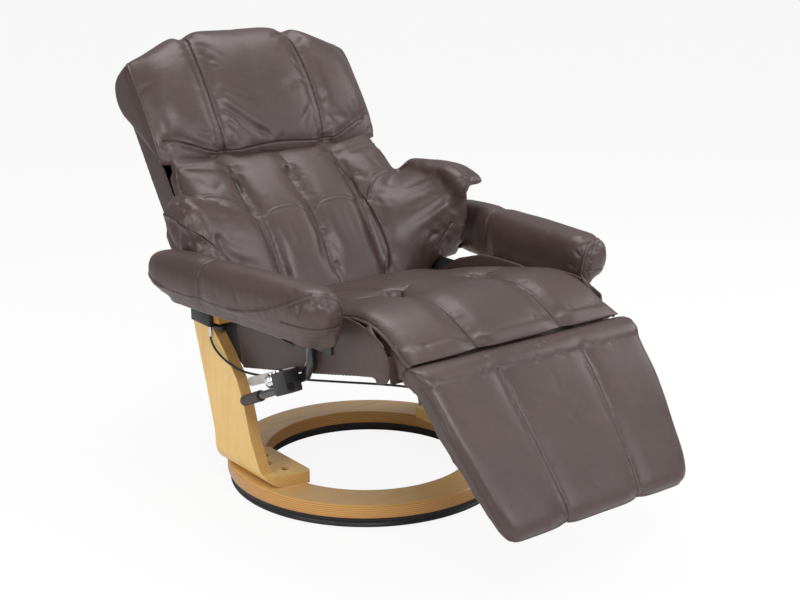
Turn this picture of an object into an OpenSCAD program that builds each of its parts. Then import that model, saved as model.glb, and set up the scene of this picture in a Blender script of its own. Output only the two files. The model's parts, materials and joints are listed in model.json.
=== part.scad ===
// Swivel relax recliner: wooden ring base, two bentwood legs, upholstered seat,
// reclining back with head cushion and elbow wings, and a folding footrest.
// Millimetres, +Z up, the sitter faces -Y, and the sitter's left is +X.

/* [Swivel base] */
// Outer diameter of the wooden ring
ring_d = 650; // [600:5:720]
// Diameter of the opening in the wooden ring
ring_hole_d = 476; // [440:2:490]
// Thickness of the wooden ring
ring_t = 31; // [26:1:40]
// Height of the wooden ring's underside above the floor
ring_z = 24; // [23:0.5:27]
// Outer diameter of the black floor ring
floor_ring_d = 638; // [600:2:646]
// Width of the floor ring's channel
floor_ring_w = 72; // [64:1:76]
// Wall of the floor ring
floor_ring_wall = 4; // [3:0.5:5]
// Height of the rubber glide pads
pad_h = 3; // [2:0.5:4]
// Diameter of a rubber glide pad
pad_d = 36; // [24:1:44]
// Number of glide pads
pad_count = 8; // [4:1:12]
// Diameter of a bearing ball
ball_d = 8; // [6:0.5:9]
// Number of bearing balls
ball_count = 24; // [12:1:36]

/* [Legs] */
// Thickness of the bent plywood
leg_t = 26; // [20:1:32]
// Distance between the legs' outer faces
leg_span = 642; // [620:2:680]
// Outer radius of the bend at the foot
leg_bend_r = 42; // [34:1:56]
// Height of the leg's top above the floor
leg_top_z = 455; // [440:1:475]
// How far the foot reaches inwards from the leg's outer face
foot_reach = 109; // [90:1:115]
// Diameter of the foot bolts
bolt_d = 8; // [6:0.5:10]
// Diameter of the counterbore over a foot bolt
bolt_head_d = 18; // [14:0.5:22]

/* [Seat] */
// Width of the seat cushion
seat_w = 558; // [520:2:580]
// Depth of the seat from the footrest's hinge to the back's hinge
seat_depth = 634; // [600:2:660]
// Thickness of the seat cushion over its deck
seat_t = 95; // [80:1:105]
// Height of the seat's wooden frame
frame_h = 37; // [30:1:45]
// Thickness of the frame's side boards
frame_t = 18; // [15:1:22]
// Slope of the seat, down towards the back
seat_tilt = 12.8; // [8:0.1:16]
// Height of the footrest's hinge above the floor
foot_hinge_z = 394; // [385:1:405]
// How far the footrest's hinge lies in front of the ring's centre
foot_hinge_front = 532; // [515:1:550]
// Thickness of the leather covered side panels
panel_t = 6; // [4:0.5:8]
// Thickness of the steel side plates
plate_t = 6; // [4:0.5:8]

/* [Back] */
// Length of the back from its hinge to the top of the head cushion
back_len = 724; // [680:2:760]
// Width of the back's upper part
back_w = 588; // [560:2:600]
// Width of the back between the side plates
back_low_w = 540; // [500:2:544]
// Angle of the back above level as it stands in the photographed position
back_angle = 54; // [50:1:58]
// Depth of the rear shell
shell_d = 70; // [60:1:80]
// Width of the head cushion
head_w = 622; // [600:2:640]
// Radius of the pad's lower end around the back hinge
back_roll_r = 40; // [34:1:44]

/* [Footrest] */
// Length of the footrest from its hinge
footrest_len = 322; // [290:2:330]
// Width of the footrest at the hinge
footrest_w = 590; // [560:2:600]
// Width of the footrest at its free end
footrest_end_w = 490; // [440:2:520]
// Radius of the footrest's roll around its hinge
footrest_roll_r = 58; // [52:1:62]
// Slope of the footrest below level as it stands in the photographed position
footrest_drop = 48.5; // [44:0.5:52]
// Thickness of the footrest's board
board_t = 12; // [9:1:15]

/* [Arms] */
// Width of an arm
arm_w = 96; // [84:1:104]
// Height of an arm pad
arm_h = 100; // [86:1:108]
// Length of an arm
arm_len = 590; // [550:2:610]
// Height of an arm pad's underside
arm_z = 470; // [462:1:478]
// Distance between the arms' centre lines beside the swivel axis
arm_span = 788; // [770:2:810]
// Turn of each arm's front end towards the sitter
arm_toe = 6.5; // [3:0.5:8]
// Thickness of the board under an arm
arm_board_t = 12; // [9:1:14]

/* [Controls] */
// Diameter of the lever's tube
lever_tube_d = 17; // [14:0.5:17.5]
// Diameter of the rubber grip
grip_d = 24; // [20:0.5:26]
// Length of the rubber grip
grip_len = 82; // [60:1:90]
// Diameter of the aluminium knob
knob_d = 35; // [28:1:36]
// Diameter of the release cable's sheath
cable_d = 5; // [4:0.5:6]
// Travel of the recline button
button_travel = 4; // [2:0.5:5]
// Diameter of the gas spring's cylinder
gas_d = 22; // [18:1:28]
// Diameter of the gas spring's rod
gas_rod_d = 10; // [8:1:12]

/* [Hidden] */

$fn = 48;
ring_fn = 144;
cut = 1;              // overrun of every cut past the face it opens
run_gap = 0.05;       // radial clearance of a running fit
seat_gap = 0.3;       // clearance where one piece is seated beside another
soft_gap = 1;         // clearance between a soft piece and what turns past it
hinge_gap = 1;        // side clearance between the plates of a hinge
frame_shift = 64.6;     // the swivel axis lies this far behind the middle of the outline

// Swivel base
ring_gap = 2;         // between floor ring and wooden ring
ring_top = ring_z + ring_t;
foot_top = ring_top + leg_t;
floor_ring_top = ring_z - ring_gap;
groove_r = 4.5;
race_mid_r = (floor_ring_d - floor_ring_w) / 2;
race_w = 26;
race_t = (ring_z - pad_h - floor_ring_wall - ball_d) / 2;
groove_depth = 1;                              // how far the races reach round the balls
ball_z = pad_h + floor_ring_wall + race_t + ball_d / 2;
cage_t = 2;
ring_edge_r = 5;
bolt_depth = 20;
foot_front = 84;
bolt_shares = [[0.66, 0.64], [0.5, 0.12], [0.62, -0.45]];   // of the foot's reach and of foot_front

// Legs
leg_out = leg_span / 2;
leg_in = leg_out - leg_t;
leg_h = leg_top_z - ring_top;
leg_back = 236;                                // how far behind the swivel axis a leg reaches
leg_side_shares = [
  [-0.70, 0], [-0.70, 0.0725], [-0.20, 0.0725], [-0.157, 0.1125], [-0.03, 0.2525], [0.072, 0.435],
  [0.178, 0.56], [0.369, 0.6825], [0.597, 0.8025], [0.699, 0.89], [0.729, 1], [1, 1], [0.983, 0.8475],
  [0.886, 0.685], [0.746, 0.4375], [0.619, 0.1925], [0.602, 0.05], [0.602, 0]
];
foot_plan_shares = [
  [0, 0.63], [0.35, 0.63], [1, 0.38], [1, -0.30], [0.93, -0.356], [0.25, -0.29], [0, -0.26]
];
bolt_head_h = 10;
plate_bolt_d = 8;
plate_bolt_shares = [[0.81, 0.93], [0.92, 0.965]];           // of leg_back and leg_top_z
plate_bolt_places = [for (s = plate_bolt_shares) [s[0] * leg_back, s[1] * leg_top_z]];

// Side plates and panels beside the seat
plate_in = seat_w / 2 + hinge_gap;
plate_out = plate_in + plate_t;
panel_in = plate_out + seat_gap;
panel_out = panel_in + panel_t;
puck_d = 24;
nut_d = 15;
nut_t = 5;
notch_gap = 2;                                 // left around the back's hinge lug in the rear shell
plate_shares = [
  [-1.06, 0.838], [0.32, 0.655], [0.62, 0.735], [0.96, 0.815], [1, 0.88], [1, 0.995], [-1.06, 0.995]
];
panel_shares = [
  [0.098, 0.215], [0.5, 0.2], [0.955, 0.2], [0.955, 0.93], [0.30, 0.93], [0.22, 0.86], [0.16, 0.76],
  [0.098, 0.6]
];

// Seat: origin on the footrest's hinge, y back along the slope, z square to it
seat_top = 170;                                // the seat's top plane above the footrest's hinge
deck_z = seat_top - seat_t;
rail_y = 62;
rail_t = 22;
board_len = 530;
rail_shares = [0.098, 0.402, 0.86];            // fronts of the cross rails, of the seat's depth
strap_shares = [0.142, 0.221, 0.30, 0.47, 0.549, 0.628, 0.707, 0.786];
strap_w = 40;
strap_t = 3;
nose_r = footrest_roll_r + 2 * soft_gap;
back_hinge_up = 150;                           // the back's hinge above the footrest's hinge
seat_front_shares = [
  [0.85, 1], [0.74, 1], [0.63, 1], [0.52, 1], [0.45, 1], [0.40, 1], [0.34, 0.998], [0.267, 0.99],
  [0.213, 0.948], [0.161, 0.866], [0.126, 0.79], [0.092, 0.69], [0.063, 0.60], [0.038, 0.512],
  [0.012, 0.43]
];
deck_shares = [0.0973, 0.3, 0.5, 0.7, 0.952];
nose_angles = [96, 80, 62, 44, 26];
rear_angles = [225, 203, 182];
seam_share = 0.4;                              // the lengthwise seams, of half a cushion's width
tuft_share = 0.4;                              // the tufts, of the seat's depth
seat_crown = 6;
seam_depth = 7;
seam_w = 9;
tuft_depth = 14;
tuft_w = 20;
cushion_edge_r = 26;
drawn_in_share = 0.012;
width_shares = [0, 0.14, 0.28, 0.36, 0.4, 0.44, 0.55, 0.7, 0.82, 0.9, 0.95, 0.985, 1];

// Place of the back's hinge behind the swivel axis and above the floor
hinge_y = seat_depth * cos(seat_tilt) + back_hinge_up * sin(seat_tilt) - foot_hinge_front;
hinge_z = foot_hinge_z - seat_depth * sin(seat_tilt) + back_hinge_up * cos(seat_tilt);

// Back: origin on its hinge, y to the rear, z up along the back
pin_r = 6;
pin_head_r = 10;
pin_head_t = 4;
lug_t = 5;
lug_x = plate_in - hinge_gap - lug_t;
lug_r = 15;
tube_r = 11;
frame_tube_x = 256;
frame_y = 66;
frame_top = 610;
tube_end = 18;
crank_x = 12;
crank_t = 5;
crank_len = 120;                               // from the back's hinge down to the gas spring's pin
gas_pin_r = 5;
gas_pin_y = crank_len * cos(back_angle);
gas_pin_z = -crank_len * sin(back_angle);
shell_y = 45;
shell_wall = 6;
shell_low = -14;
shell_low_w = back_low_w + 12;
shell_shares = [[0.935, 0.152], [1, 0.262], [1, 0.80], [0.975, 0.86], [0.90, 0.888], [0.80, 0.895]];
pad_rear_y = 44;
pad_top = 390;                                 // top of the back pad along the back
pad_front_shares = [
  [0.30, 0.94], [0.05, 0.905], [0, 0.88], [-0.26, 0.80], [-0.56, 0.70], [-0.88, 0.60], [-1.06, 0.51],
  [-1.17, 0.43], [-1.21, 0.34], [-1.14, 0.25], [-1.05, 0.16], [-1, 0.08], [-1, 0.02]
];
pad_rear_shares = [0.09, 0.3, 0.5, 0.7, 0.9];
pad_roll_angles = [195, 222, 250, 280, 310];
pad_width_shares = [0, 0.03, 0.08, 0.16, 0.28, 0.4, 0.46, 0.5, 0.54, 0.6, 0.7, 0.8, 0.88, 0.94, 0.98, 1];
pad_seam_share = 0.5;
pad_edge_r = 34;
pad_rise = 12;
head_low = 378;
head_depth = 100;
head_shares = [
  [0.395, 0.03], [0.402, 0.18], [0.407, 0.42], [0.405, 0.64], [0.415, 0.79], [0.78, 0.795], [1.17, 0.79],
  [1.185, 0.74], [1.19, 0.64], [1.30, 0.62], [1.41, 0.67], [1.41, 0.78], [1.33, 0.90], [1.13, 0.975],
  [0.80, 1.01], [0.45, 1.013], [0.20, 0.995], [0, 0.95], [-0.14, 0.87], [-0.21, 0.76], [-0.24, 0.64],
  [-0.25, 0.52], [-0.24, 0.40], [-0.20, 0.29], [-0.12, 0.18], [0, 0.09], [0.15, 0.03], [0.28, 0]
];
head_first_out = 9;                            // the first of these points that shows
head_width_shares = [0, 0.12, 0.26, 0.38, 0.43, 0.455, 0.48, 0.53, 0.66, 0.8, 0.9, 0.96, 0.99, 1];
head_seam_share = 0.455;
head_edge_r = 30;
wing_d = 268;
wing_h = 300;
wing_w = 106;
wing_edge_r = 16;
wing_in_shares = [
  [-0.46, 0.28], [-0.26, 0.205], [-0.11, 0.22], [0.036, 0.353], [0.077, 0.586], [0.066, 0.826],
  [-0.014, 0.98], [-0.195, 0.977], [-0.42, 0.86], [-0.657, 0.693], [-0.80, 0.53], [-0.754, 0.417],
  [-0.595, 0.335]
];
wing_out_shares = [
  [-0.61, 0.47], [-0.47, 0.52], [-0.33, 0.577], [-0.18, 0.673], [-0.077, 0.773], [-0.045, 0.877],
  [-0.09, 0.95], [-0.224, 0.927], [-0.398, 0.83], [-0.57, 0.70], [-0.695, 0.57], [-0.72, 0.488],
  [-0.675, 0.46]
];
// Place across a wing, how far it has gone over to the outer outline, how far its edge draws in
wing_station_shares = [
  [0, 0, 1], [0.05, 0, 0.45], [0.18, 0, 0], [0.33, 0, 0], [0.45, 0.6, 0], [0.55, 1, 0], [0.75, 1, 0],
  [0.9, 1, 0.15], [0.97, 1, 0.5], [1, 1, 1]
];

// Footrest: origin on its hinge, -y out along it, z square to its face
foot_pin_r = 5;
knuckle_r = 10;
leaf_t = 5;
leaf_x = 200;
leaf_len = 120;
board_low = -4;
board_inset = 14;
board_front = 306;
roll_gap = 3;                                  // between the hinge's knuckles and the padding over them
foot_roll_angles = [-25, -5, 15, 35, 55, 75];
foot_hub_angles = [130, 90, 40, -25];
foot_low_shares = [-0.80, -0.55, -0.30, -0.06];
foot_top_shares = [
  [0, 1], [-0.12, 1.01], [-0.23, 1.03], [-0.35, 1.02], [-0.47, 1], [-0.60, 0.94], [-0.72, 0.90],
  [-0.82, 0.86], [-0.90, 0.79], [-0.95, 0.70], [-0.985, 0.58], [-1, 0.42], [-0.99, 0.24], [-0.965, 0.165]
];
foot_edge_r = 22;

// Arms: origin on the arm's centre line beside the swivel axis, y along the arm
arm_front_share = 0.644;                       // of the arm's length that lies before the swivel axis
// Place along the arm, half width, underside and top: shares of its length, width and height
arm_station_shares = [
  [0, 0.14, 0.36, 0.66], [0.012, 0.28, 0.22, 0.82], [0.04, 0.40, 0.10, 0.94], [0.09, 0.47, 0.03, 1.0],
  [0.2, 0.5, 0, 1.0], [0.35, 0.5, 0, 0.99], [0.5, 0.5, 0, 0.97], [0.64, 0.5, 0, 0.95], [0.8, 0.5, 0, 0.92],
  [0.9, 0.48, 0.02, 0.88], [0.955, 0.42, 0.07, 0.82], [0.985, 0.31, 0.16, 0.73], [1, 0.15, 0.30, 0.60]
];
arm_sides = 18;
arm_square = 2.6;                              // exponent of the arm's rounded section
arm_board_w = 48;
arm_board_mid_share = 0.48;
arm_board_len_share = 0.78;
bracket_t = 4;
bracket_w = 38;
bracket_drop = 42;
bracket_reach = 96;
bracket_shares = [-1.12, -0.10, 0.555];        // of leg_back
block_z = 388;

// Side lever: origin on its pivot, x outwards
lever_plate_t = 4;
lever_y = -222;
lever_z = 438;
bar_w = 18;
bar_t = 12;
lever_x = panel_out + lever_plate_t + hinge_gap + bar_t / 2;
lever_plate_shares = [[-0.93, 0.892], [-0.42, 0.900], [-0.42, 0.985], [-0.93, 0.985]];
lever_screw_shares = [[-0.487, 0.934], [-0.72, 0.928]];
screw_r = 3;
lever_pin_r = 5;
bar_drop = 50;
elbow = [20, -86];
clamp_mid = [54, -103];
tube_slope = 24.8;
tube_x = 31;
tube_len = 175;                                // from the clamp's middle to the middle of the grip's end
clamp_len = 50;
clamp_h = 48;
knob_pitch = 23;                               // height of the knob's axis above the tube's, square to both
knob_x = 17;
knob_len = 50;
knob_neck_d = 12;
// Turned outline of the knob: shares of its radius and of its length
knob_shares = [
  [0, 0], [0.84, 0], [1, 0.06], [1, 0.2], [0.88, 0.25], [0.88, 0.33], [1, 0.38], [1, 0.5], [0.88, 0.55],
  [0.88, 0.61], [1, 0.66], [1, 0.82], [0.92, 0.96], [0.82, 1], [0.66, 1], [0.6, 0.9], [0.6, 0.62],
  [0, 0.62]
];
paddle_root = [12, 18];
paddle_tip = [193, 26];
paddle_w = 20;
paddle_t = 8;
paddle_pin_r = 3;

// Release cable and recline button
housing = [12, 80, 30];
housing_y = 133;
housing_z = 378;
ferrule_d = 8;
ferrule_h = 22;
ferrule_in = 6;                                // ferrule's place from the housing's front end
button_at = [310, 123];
button_d = 28;
button_h = 9;
button_gap = 2;                                // left over the button at the end of its travel
button_stem_d = 8;
button_stem_in = 12;
release_head_size = [30, 34, 24];
cable_in = 8;                                  // how deep the sheath sits in the release head
// Middle line of the cable's sheath, from the ferrule to the release head
cable_route = [
  [-327, 139, 362], [-327, 139, 352], [-327, 136, 345], [-327, 129, 337], [-327, 118, 329],
  [-327, 103, 322], [-326.5, 86, 317], [-326, 70, 313], [-323.5, 56, 309], [-318, 45, 304],
  [-309, 37, 298], [-297, 30, 293], [-282, 22, 288], [-262, 11, 283], [-238, -3, 279], [-210, -21, 275],
  [-180, -43, 272], [-150, -68, 270], [-122, -95, 269], [-98, -124, 270], [-78, -155, 272],
  [-62, -187, 275], [-51, -218, 278], [-44, -246, 280], [-40, -262, 281.5], [-35, -273, 282],
  [-27, -279, 282], [-18, -281, 282], [-8, -281, 282]
];
cable_sides = 8;

// Gas spring: lies level under the seat, its cylinder's eye around the pin of the back's crank
gas_rise = 2.3;                                // the eye's middle above the pin at rest
gas_z = hinge_z - crank_len + gas_rise;
gas_bracket_t = 4;
gas_bracket_w = 40;
gas_bracket_share = 0.7;                       // place of the bracket under the middle rail
gas_y = (rail_shares[1] * seat_depth + gas_bracket_share * rail_t) * cos(seat_tilt)
  + (deck_z - frame_h - gas_bracket_t / 2) * sin(seat_tilt) - foot_hinge_front;
gas_wall = 2;
gas_len = 205;
gas_cap_t = 12;
gas_eye_t = 12;
gas_eye_r = 14;
gas_eye_bore_r = 8;
gas_neck = 3;
gas_rod_len = 268;
gas_piston_t = 10;

function lerp(a, b, t) = a + (b - a) * t;
function bell(d, w) = exp(-d * d / (w * w));
function unit(v) = v / norm(v);
function clamp01(t) = max(0, min(1, t));
function power(a, e) = sign(a) * pow(abs(a), e);
function polar(c, r, a) = [c[0] + r * cos(a), c[1] + r * sin(a)];
function scaled(list, a, b) = [for (s = list) [s[0] * a, s[1] * b]];

// Outline of a rectangle with round corners, anticlockwise around the origin
function round_rect(w, h, r, n = 4) = [
  for (q = [0:3]) for (k = [0:n])
    polar([(q == 0 || q == 3 ? 1 : -1) * (w / 2 - r), (q < 2 ? 1 : -1) * (h / 2 - r)], r, 90 * (q + k / n))
];

// Outline of a strip of width w with round ends between two points
function long_round(a, b, w, n = 8) =
  let (turn = atan2(b[1] - a[1], b[0] - a[0]) + 90)
  [for (e = [0, 1]) for (k = [0:n]) polar(e == 0 ? a : b, w / 2, turn + 180 * (e + k / n))];

// How far a round edge of radius r has drawn in at distance d from the middle of a half width w
function edge_in(d, w, r) = d <= w - r ? 0 : r * (1 - sqrt(max(0, 1 - pow((d - w + r) / r, 2))));

// Outward direction at each point of an outline that runs anticlockwise
function out_dirs(p) = [
  for (i = [0:len(p) - 1])
    let (t = unit(p[(i + 1) % len(p)] - p[(i + len(p) - 1) % len(p)])) [t[1], -t[0]]
];

// Stations across a width: the given shares of half of it, on both sides
function both_sides(shares) = concat([for (i = [len(shares) - 1:-1:1]) -shares[i]], shares);

// Closed skin over rings of points that run anticlockwise seen from the last ring
module loft(rings) {
  n = len(rings[0]);
  m = len(rings);
  sides = [for (k = [0:m - 2]) for (i = [0:n - 1])
    let (a = k * n + i, b = k * n + (i + 1) % n, c = a + n, d = b + n) each [[a, d, b], [a, c, d]]];
  ends = [[for (i = [0:n - 1]) i], [for (i = [n - 1:-1:0]) (m - 1) * n + i]];
  polyhedron(points = [for (r = rings) each r], faces = concat(sides, ends));
}

// Plate in a plane across X: outline in (y, z), from x to x + t
module plate_yz(points, x, t) {
  translate([x, 0, 0]) rotate([90, 0, 90]) linear_extrude(t) polygon(points);
}

// Round bar or bore along X
module bar_x(r, x0, x1, y = 0, z = 0) {
  translate([x0, y, z]) rotate([0, 90, 0]) cylinder(r = r, h = x1 - x0);
}

// Round bar or bore along Y
module bar_y(r, y0, y1, x = 0, z = 0) {
  translate([x, y0, z]) rotate([-90, 0, 0]) cylinder(r = r, h = y1 - y0);
}

// Flat link with round ends between two points in (y, z), from x to x + t
module link_yz(a, b, w, x, t) {
  side = [a[1] - b[1], b[0] - a[0]] / norm(b - a) * w / 2;
  plate_yz([a - side, b - side, b + side, a + side], x, t);
  for (p = [a, b]) bar_x(w / 2, x, x + t, p[0], p[1]);
}

// Box from one corner to the other
module box(a, b) {
  translate(a) cube(b - a);
}

module ring_frame() {
  translate([0, frame_shift, 0]) children();
}
module front_hinge_at() {
  ring_frame() translate([0, -foot_hinge_front, foot_hinge_z]) children();
}
module seat_frame_ref() {
  front_hinge_at() rotate([-seat_tilt, 0, 0]) children();
}
module footrest_frame_ref() {
  front_hinge_at() rotate([footrest_drop, 0, 0]) children();
}
module back_frame_ref() {
  ring_frame() translate([0, hinge_y, hinge_z]) rotate([back_angle - 90, 0, 0]) children();
}
module other_side(left) {
  mirror([left ? 0 : 1, 0, 0]) children();
}
module both() {
  children();
  mirror([1, 0, 0]) children();
}

// Floor ring: a black channel with a groove around its outer wall
module floor_ring() {
  ro = floor_ring_d / 2;
  channel_w = floor_ring_w - 2 * floor_ring_wall - groove_r;
  color([0.05, 0.05, 0.055]) ring_frame() rotate_extrude($fn = ring_fn) difference() {
    translate([ro - floor_ring_w, pad_h]) square([floor_ring_w, floor_ring_top - pad_h]);
    translate([ro - floor_ring_w + floor_ring_wall, pad_h + floor_ring_wall]) square([channel_w, ring_z]);
    translate([ro + groove_r / 3, (pad_h + floor_ring_top) / 2]) circle(r = groove_r, $fn = 24);
  }
}

module glide_pads() {
  color([0.1, 0.1, 0.1]) ring_frame() for (k = [0:pad_count - 1])
    rotate([0, 0, 360 * (k + 0.5) / pad_count]) translate([race_mid_r, 0, 0]) cylinder(d = pad_d, h = pad_h);
}

// Half of the bearing: a flat ring with a groove for the balls
module race(z) {
  color([0.62, 0.63, 0.65]) ring_frame() rotate_extrude($fn = ring_fn) difference() {
    translate([race_mid_r - race_w / 2, z]) square([race_w, race_t + groove_depth]);
    translate([race_mid_r, ball_z]) circle(r = ball_d / 2 + run_gap, $fn = 32);
  }
}
module lower_race() {
  race(pad_h + floor_ring_wall);
}
module upper_race() {
  race(ring_z - race_t - groove_depth);
}
module ball_places() {
  for (k = [0:ball_count - 1])
    rotate([0, 0, 360 * k / ball_count]) translate([race_mid_r, 0, ball_z]) children();
}
module ball_cage() {
  color([0.75, 0.68, 0.45]) ring_frame() difference() {
    translate([0, 0, ball_z - cage_t / 2]) rotate_extrude($fn = ring_fn)
      translate([race_mid_r - race_w / 2, 0]) square([race_w, cage_t]);
    ball_places() cylinder(r = ball_d / 2 + run_gap, h = ball_d, center = true);
  }
}
module bearing_balls() {
  color([0.8, 0.8, 0.82]) ring_frame() ball_places() sphere(d = ball_d, $fn = 16);
}

// Wooden ring with round edges; the foot bolts screw into it
module foot_bolt_places() {
  both() for (s = bolt_shares) translate([leg_out - s[0] * foot_reach, s[1] * foot_front, 0]) children();
}
module wood_ring() {
  w = (ring_d - ring_hole_d) / 2;
  color([0.85, 0.66, 0.38]) ring_frame() difference() {
    translate([0, 0, ring_z + ring_t / 2]) rotate_extrude($fn = ring_fn)
      translate([ring_hole_d / 2 + w / 2, 0]) polygon(round_rect(w, ring_t, ring_edge_r, 3));
    foot_bolt_places() translate([0, 0, ring_top - bolt_depth]) cylinder(d = bolt_d, h = bolt_depth + cut);
  }
}
module leg_bolts() {
  shank_d = bolt_d - 2 * run_gap;
  color([0.06, 0.06, 0.06]) ring_frame() foot_bolt_places() difference() {
    union() {
      translate([0, 0, ring_top - bolt_depth]) cylinder(d = shank_d, h = bolt_depth + leg_t - bolt_head_h);
      translate([0, 0, foot_top - bolt_head_h]) cylinder(d = bolt_d * 1.6, h = bolt_d * 0.7);
    }
    translate([0, 0, foot_top - bolt_head_h + bolt_d / 4]) cylinder(d = bolt_d * 0.75, h = bolt_d, $fn = 6);
  }
}

// Bentwood leg: an L in cross section, cut to its outline from the side and from above
module leg(left) {
  foot_x = leg_out - foot_reach;
  bend = [leg_out - leg_bend_r, ring_top + leg_bend_r];
  color([0.88, 0.72, 0.45]) ring_frame() other_side(left) difference() {
    intersection() {
      translate([0, leg_back + cut, 0]) rotate([90, 0, 0]) linear_extrude(2 * leg_back) polygon(concat(
        [[foot_x, foot_top], [foot_x, ring_top]],
        [for (k = [0:8]) polar(bend, leg_bend_r, 90 * (k / 8 - 1))],
        [[leg_out, leg_top_z], [leg_in, leg_top_z]],
        [for (k = [8:-1:0]) polar(bend, leg_bend_r - leg_t, 90 * (k / 8 - 1))]));
      translate([0, 0, ring_top])
        plate_yz(scaled(leg_side_shares, leg_back, leg_h), foot_x - cut, foot_reach + 2 * cut);
      linear_extrude(leg_top_z + cut) polygon(concat(
        [for (s = foot_plan_shares) [leg_out - s[0] * foot_reach, s[1] * leg_back]],
        [[leg_out + cut, -leg_back], [leg_out + cut, leg_back + cut], [leg_in - cut, leg_back + cut]]));
    }
    foot_bolt_places() {
      translate([0, 0, ring_top - cut]) cylinder(d = bolt_d, h = leg_t + 2 * cut);
      translate([0, 0, foot_top - bolt_head_h]) cylinder(d = bolt_head_d, h = bolt_head_h + cut);
    }
    for (p = plate_bolt_places) bar_x(plate_bolt_d / 2 + run_gap, leg_in - cut, leg_out + cut, p[0], p[1]);
  }
}

// Steel side plate: carries the frame, the leg, the arm and the back's hinge
module side_plate(left) {
  color([0.16, 0.16, 0.17]) ring_frame() other_side(left) difference() {
    plate_yz(scaled(plate_shares, leg_back, leg_top_z), plate_in, plate_t);
    bar_x(pin_r + run_gap, plate_in - cut, plate_out + cut, hinge_y, hinge_z);
    for (p = plate_bolt_places)
      bar_x(plate_bolt_d / 2 + run_gap, plate_in - cut, plate_out + cut, p[0], p[1]);
  }
}

// Round spacers between side plate and leg, and the bolts through them
module spacer_pucks() {
  color([0.05, 0.05, 0.05]) ring_frame() both() for (p = plate_bolt_places) difference() {
    bar_x(puck_d / 2, plate_out, leg_in, p[0], p[1]);
    bar_x(plate_bolt_d / 2 + run_gap, plate_out - cut, leg_in + cut, p[0], p[1]);
  }
}
module plate_bolts() {
  color([0.2, 0.2, 0.21]) ring_frame() both() for (p = plate_bolt_places) {
    bar_x(plate_bolt_d / 2, plate_in, leg_out, p[0], p[1]);
    bar_x(nut_d / 2, leg_out, leg_out + nut_t, p[0], p[1]);
  }
}

// Seat frame: side boards and cross rails of plywood
module seat_frame() {
  inner = plate_in - frame_t;
  low = deck_z - frame_h;
  color([0.80, 0.66, 0.44]) seat_frame_ref() {
    both() box([inner, rail_y, low], [plate_in, rail_y + board_len, deck_z]);
    for (s = rail_shares) box([-inner, s * seat_depth, low], [inner, s * seat_depth + rail_t, deck_z]);
  }
}

// Elastic straps between the side boards
module seat_webbing() {
  inner = plate_in - frame_t;
  color([0.12, 0.12, 0.13]) seat_frame_ref() for (s = strap_shares)
    box([-inner, s * seat_depth, deck_z - strap_t], [inner, s * seat_depth + strap_w, deck_z]);
}

// Seat cushion: outline from the side, crown, two lengthwise seams and two tufts
function seat_outline() = concat(
  [for (a = nose_angles) polar([0, 0], nose_r, a)],
  [[rail_y - seat_gap, nose_r * sin(nose_angles[4])]],
  [for (s = deck_shares) [s * seat_depth, deck_z + seat_gap]],
  [for (a = rear_angles) polar([seat_depth, back_hinge_up], back_roll_r + soft_gap, a)],
  [[seat_depth - back_roll_r - 4 * soft_gap, 0.96 * seat_top]],
  scaled([[0.905, 0.996]], seat_depth, seat_top),
  scaled(seat_front_shares, seat_depth, seat_top));

module seat_cushion() {
  p = seat_outline();
  d = out_dirs(p);
  first_top = len(nose_angles) + len(deck_shares) + len(rear_angles) + 3;
  w = seat_w / 2;
  seam_x = seam_share * w;
  tuft_y = tuft_share * seat_depth;
  color([0.37, 0.31, 0.30]) seat_frame_ref() loft([
    for (s = both_sides(width_shares)) let (x = s * w)
      [for (i = [0:len(p) - 1]) let (
        top = i < first_top - 1 ? 0 : i == len(p) - 1 ? 0.5 : 1,
        fold = bell(abs(x) - seam_x, seam_w) * seam_depth,
        sewn = p[i][0] <= tuft_y + seam_w ? fold : 0,
        tuft = tuft_depth * bell(norm([abs(x) - seam_x, p[i][0] - tuft_y]), tuft_w),
        out = top * (seat_crown * (1 - s * s) - edge_in(abs(x), w, cushion_edge_r) - sewn - tuft),
        waist = abs(s) == 1 ? 1 : sin(180 * clamp01(p[i][0] / seat_depth)),
        pull = 1 - drawn_in_share * waist)
        [x * pull, p[i][0] + d[i][0] * out, p[i][1] + d[i][1] * out]]
  ]);
}

// Leather covered panel on each side of the seat
module seat_panel(left) {
  color([0.33, 0.27, 0.25]) seat_frame_ref() other_side(left)
    plate_yz(scaled(panel_shares, seat_depth, seat_top), panel_in, panel_t);
}

// Arms: a padded body on a board, carried by brackets from the side plates
module arm_ref(left) {
  ring_frame() other_side(left) translate([arm_span / 2, 0, arm_z]) rotate([0, 0, -arm_toe]) children();
}
module arm_pad(left) {
  color([0.36, 0.30, 0.29]) arm_ref(left) loft([
    for (s = arm_station_shares) let (
      y = (s[0] - arm_front_share) * arm_len,
      mid = (s[2] + s[3]) / 2 * arm_h,
      half = (s[3] - s[2]) / 2 * arm_h)
      [for (k = [0:arm_sides - 1]) let (a = 360 * k / arm_sides)
        [s[1] * arm_w * power(sin(a), 2 / arm_square), y, mid + half * power(cos(a), 2 / arm_square)]]
  ]);
}
module arm_board(left) {
  board = [arm_board_w, arm_board_len_share * arm_len];
  color([0.30, 0.25, 0.22]) arm_ref(left)
    translate([0, (arm_board_mid_share - arm_front_share) * arm_len, -arm_board_t])
      linear_extrude(arm_board_t) polygon(round_rect(board[0], board[1], board[0] / 3));
}
module arm_brackets() {
  z = arm_z - arm_board_t;
  color([0.12, 0.12, 0.13]) ring_frame() both() for (i = [0:2]) let (
    y = bracket_shares[i] * leg_back - bracket_w / 2,
    x = i < 2 ? panel_out : plate_out) {
    box([x, y, z - bracket_t], [panel_out + bracket_reach, y + bracket_w, z]);
    box([x, y, z - bracket_drop], [x + bracket_t, y + bracket_w, z]);
  }
}
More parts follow.
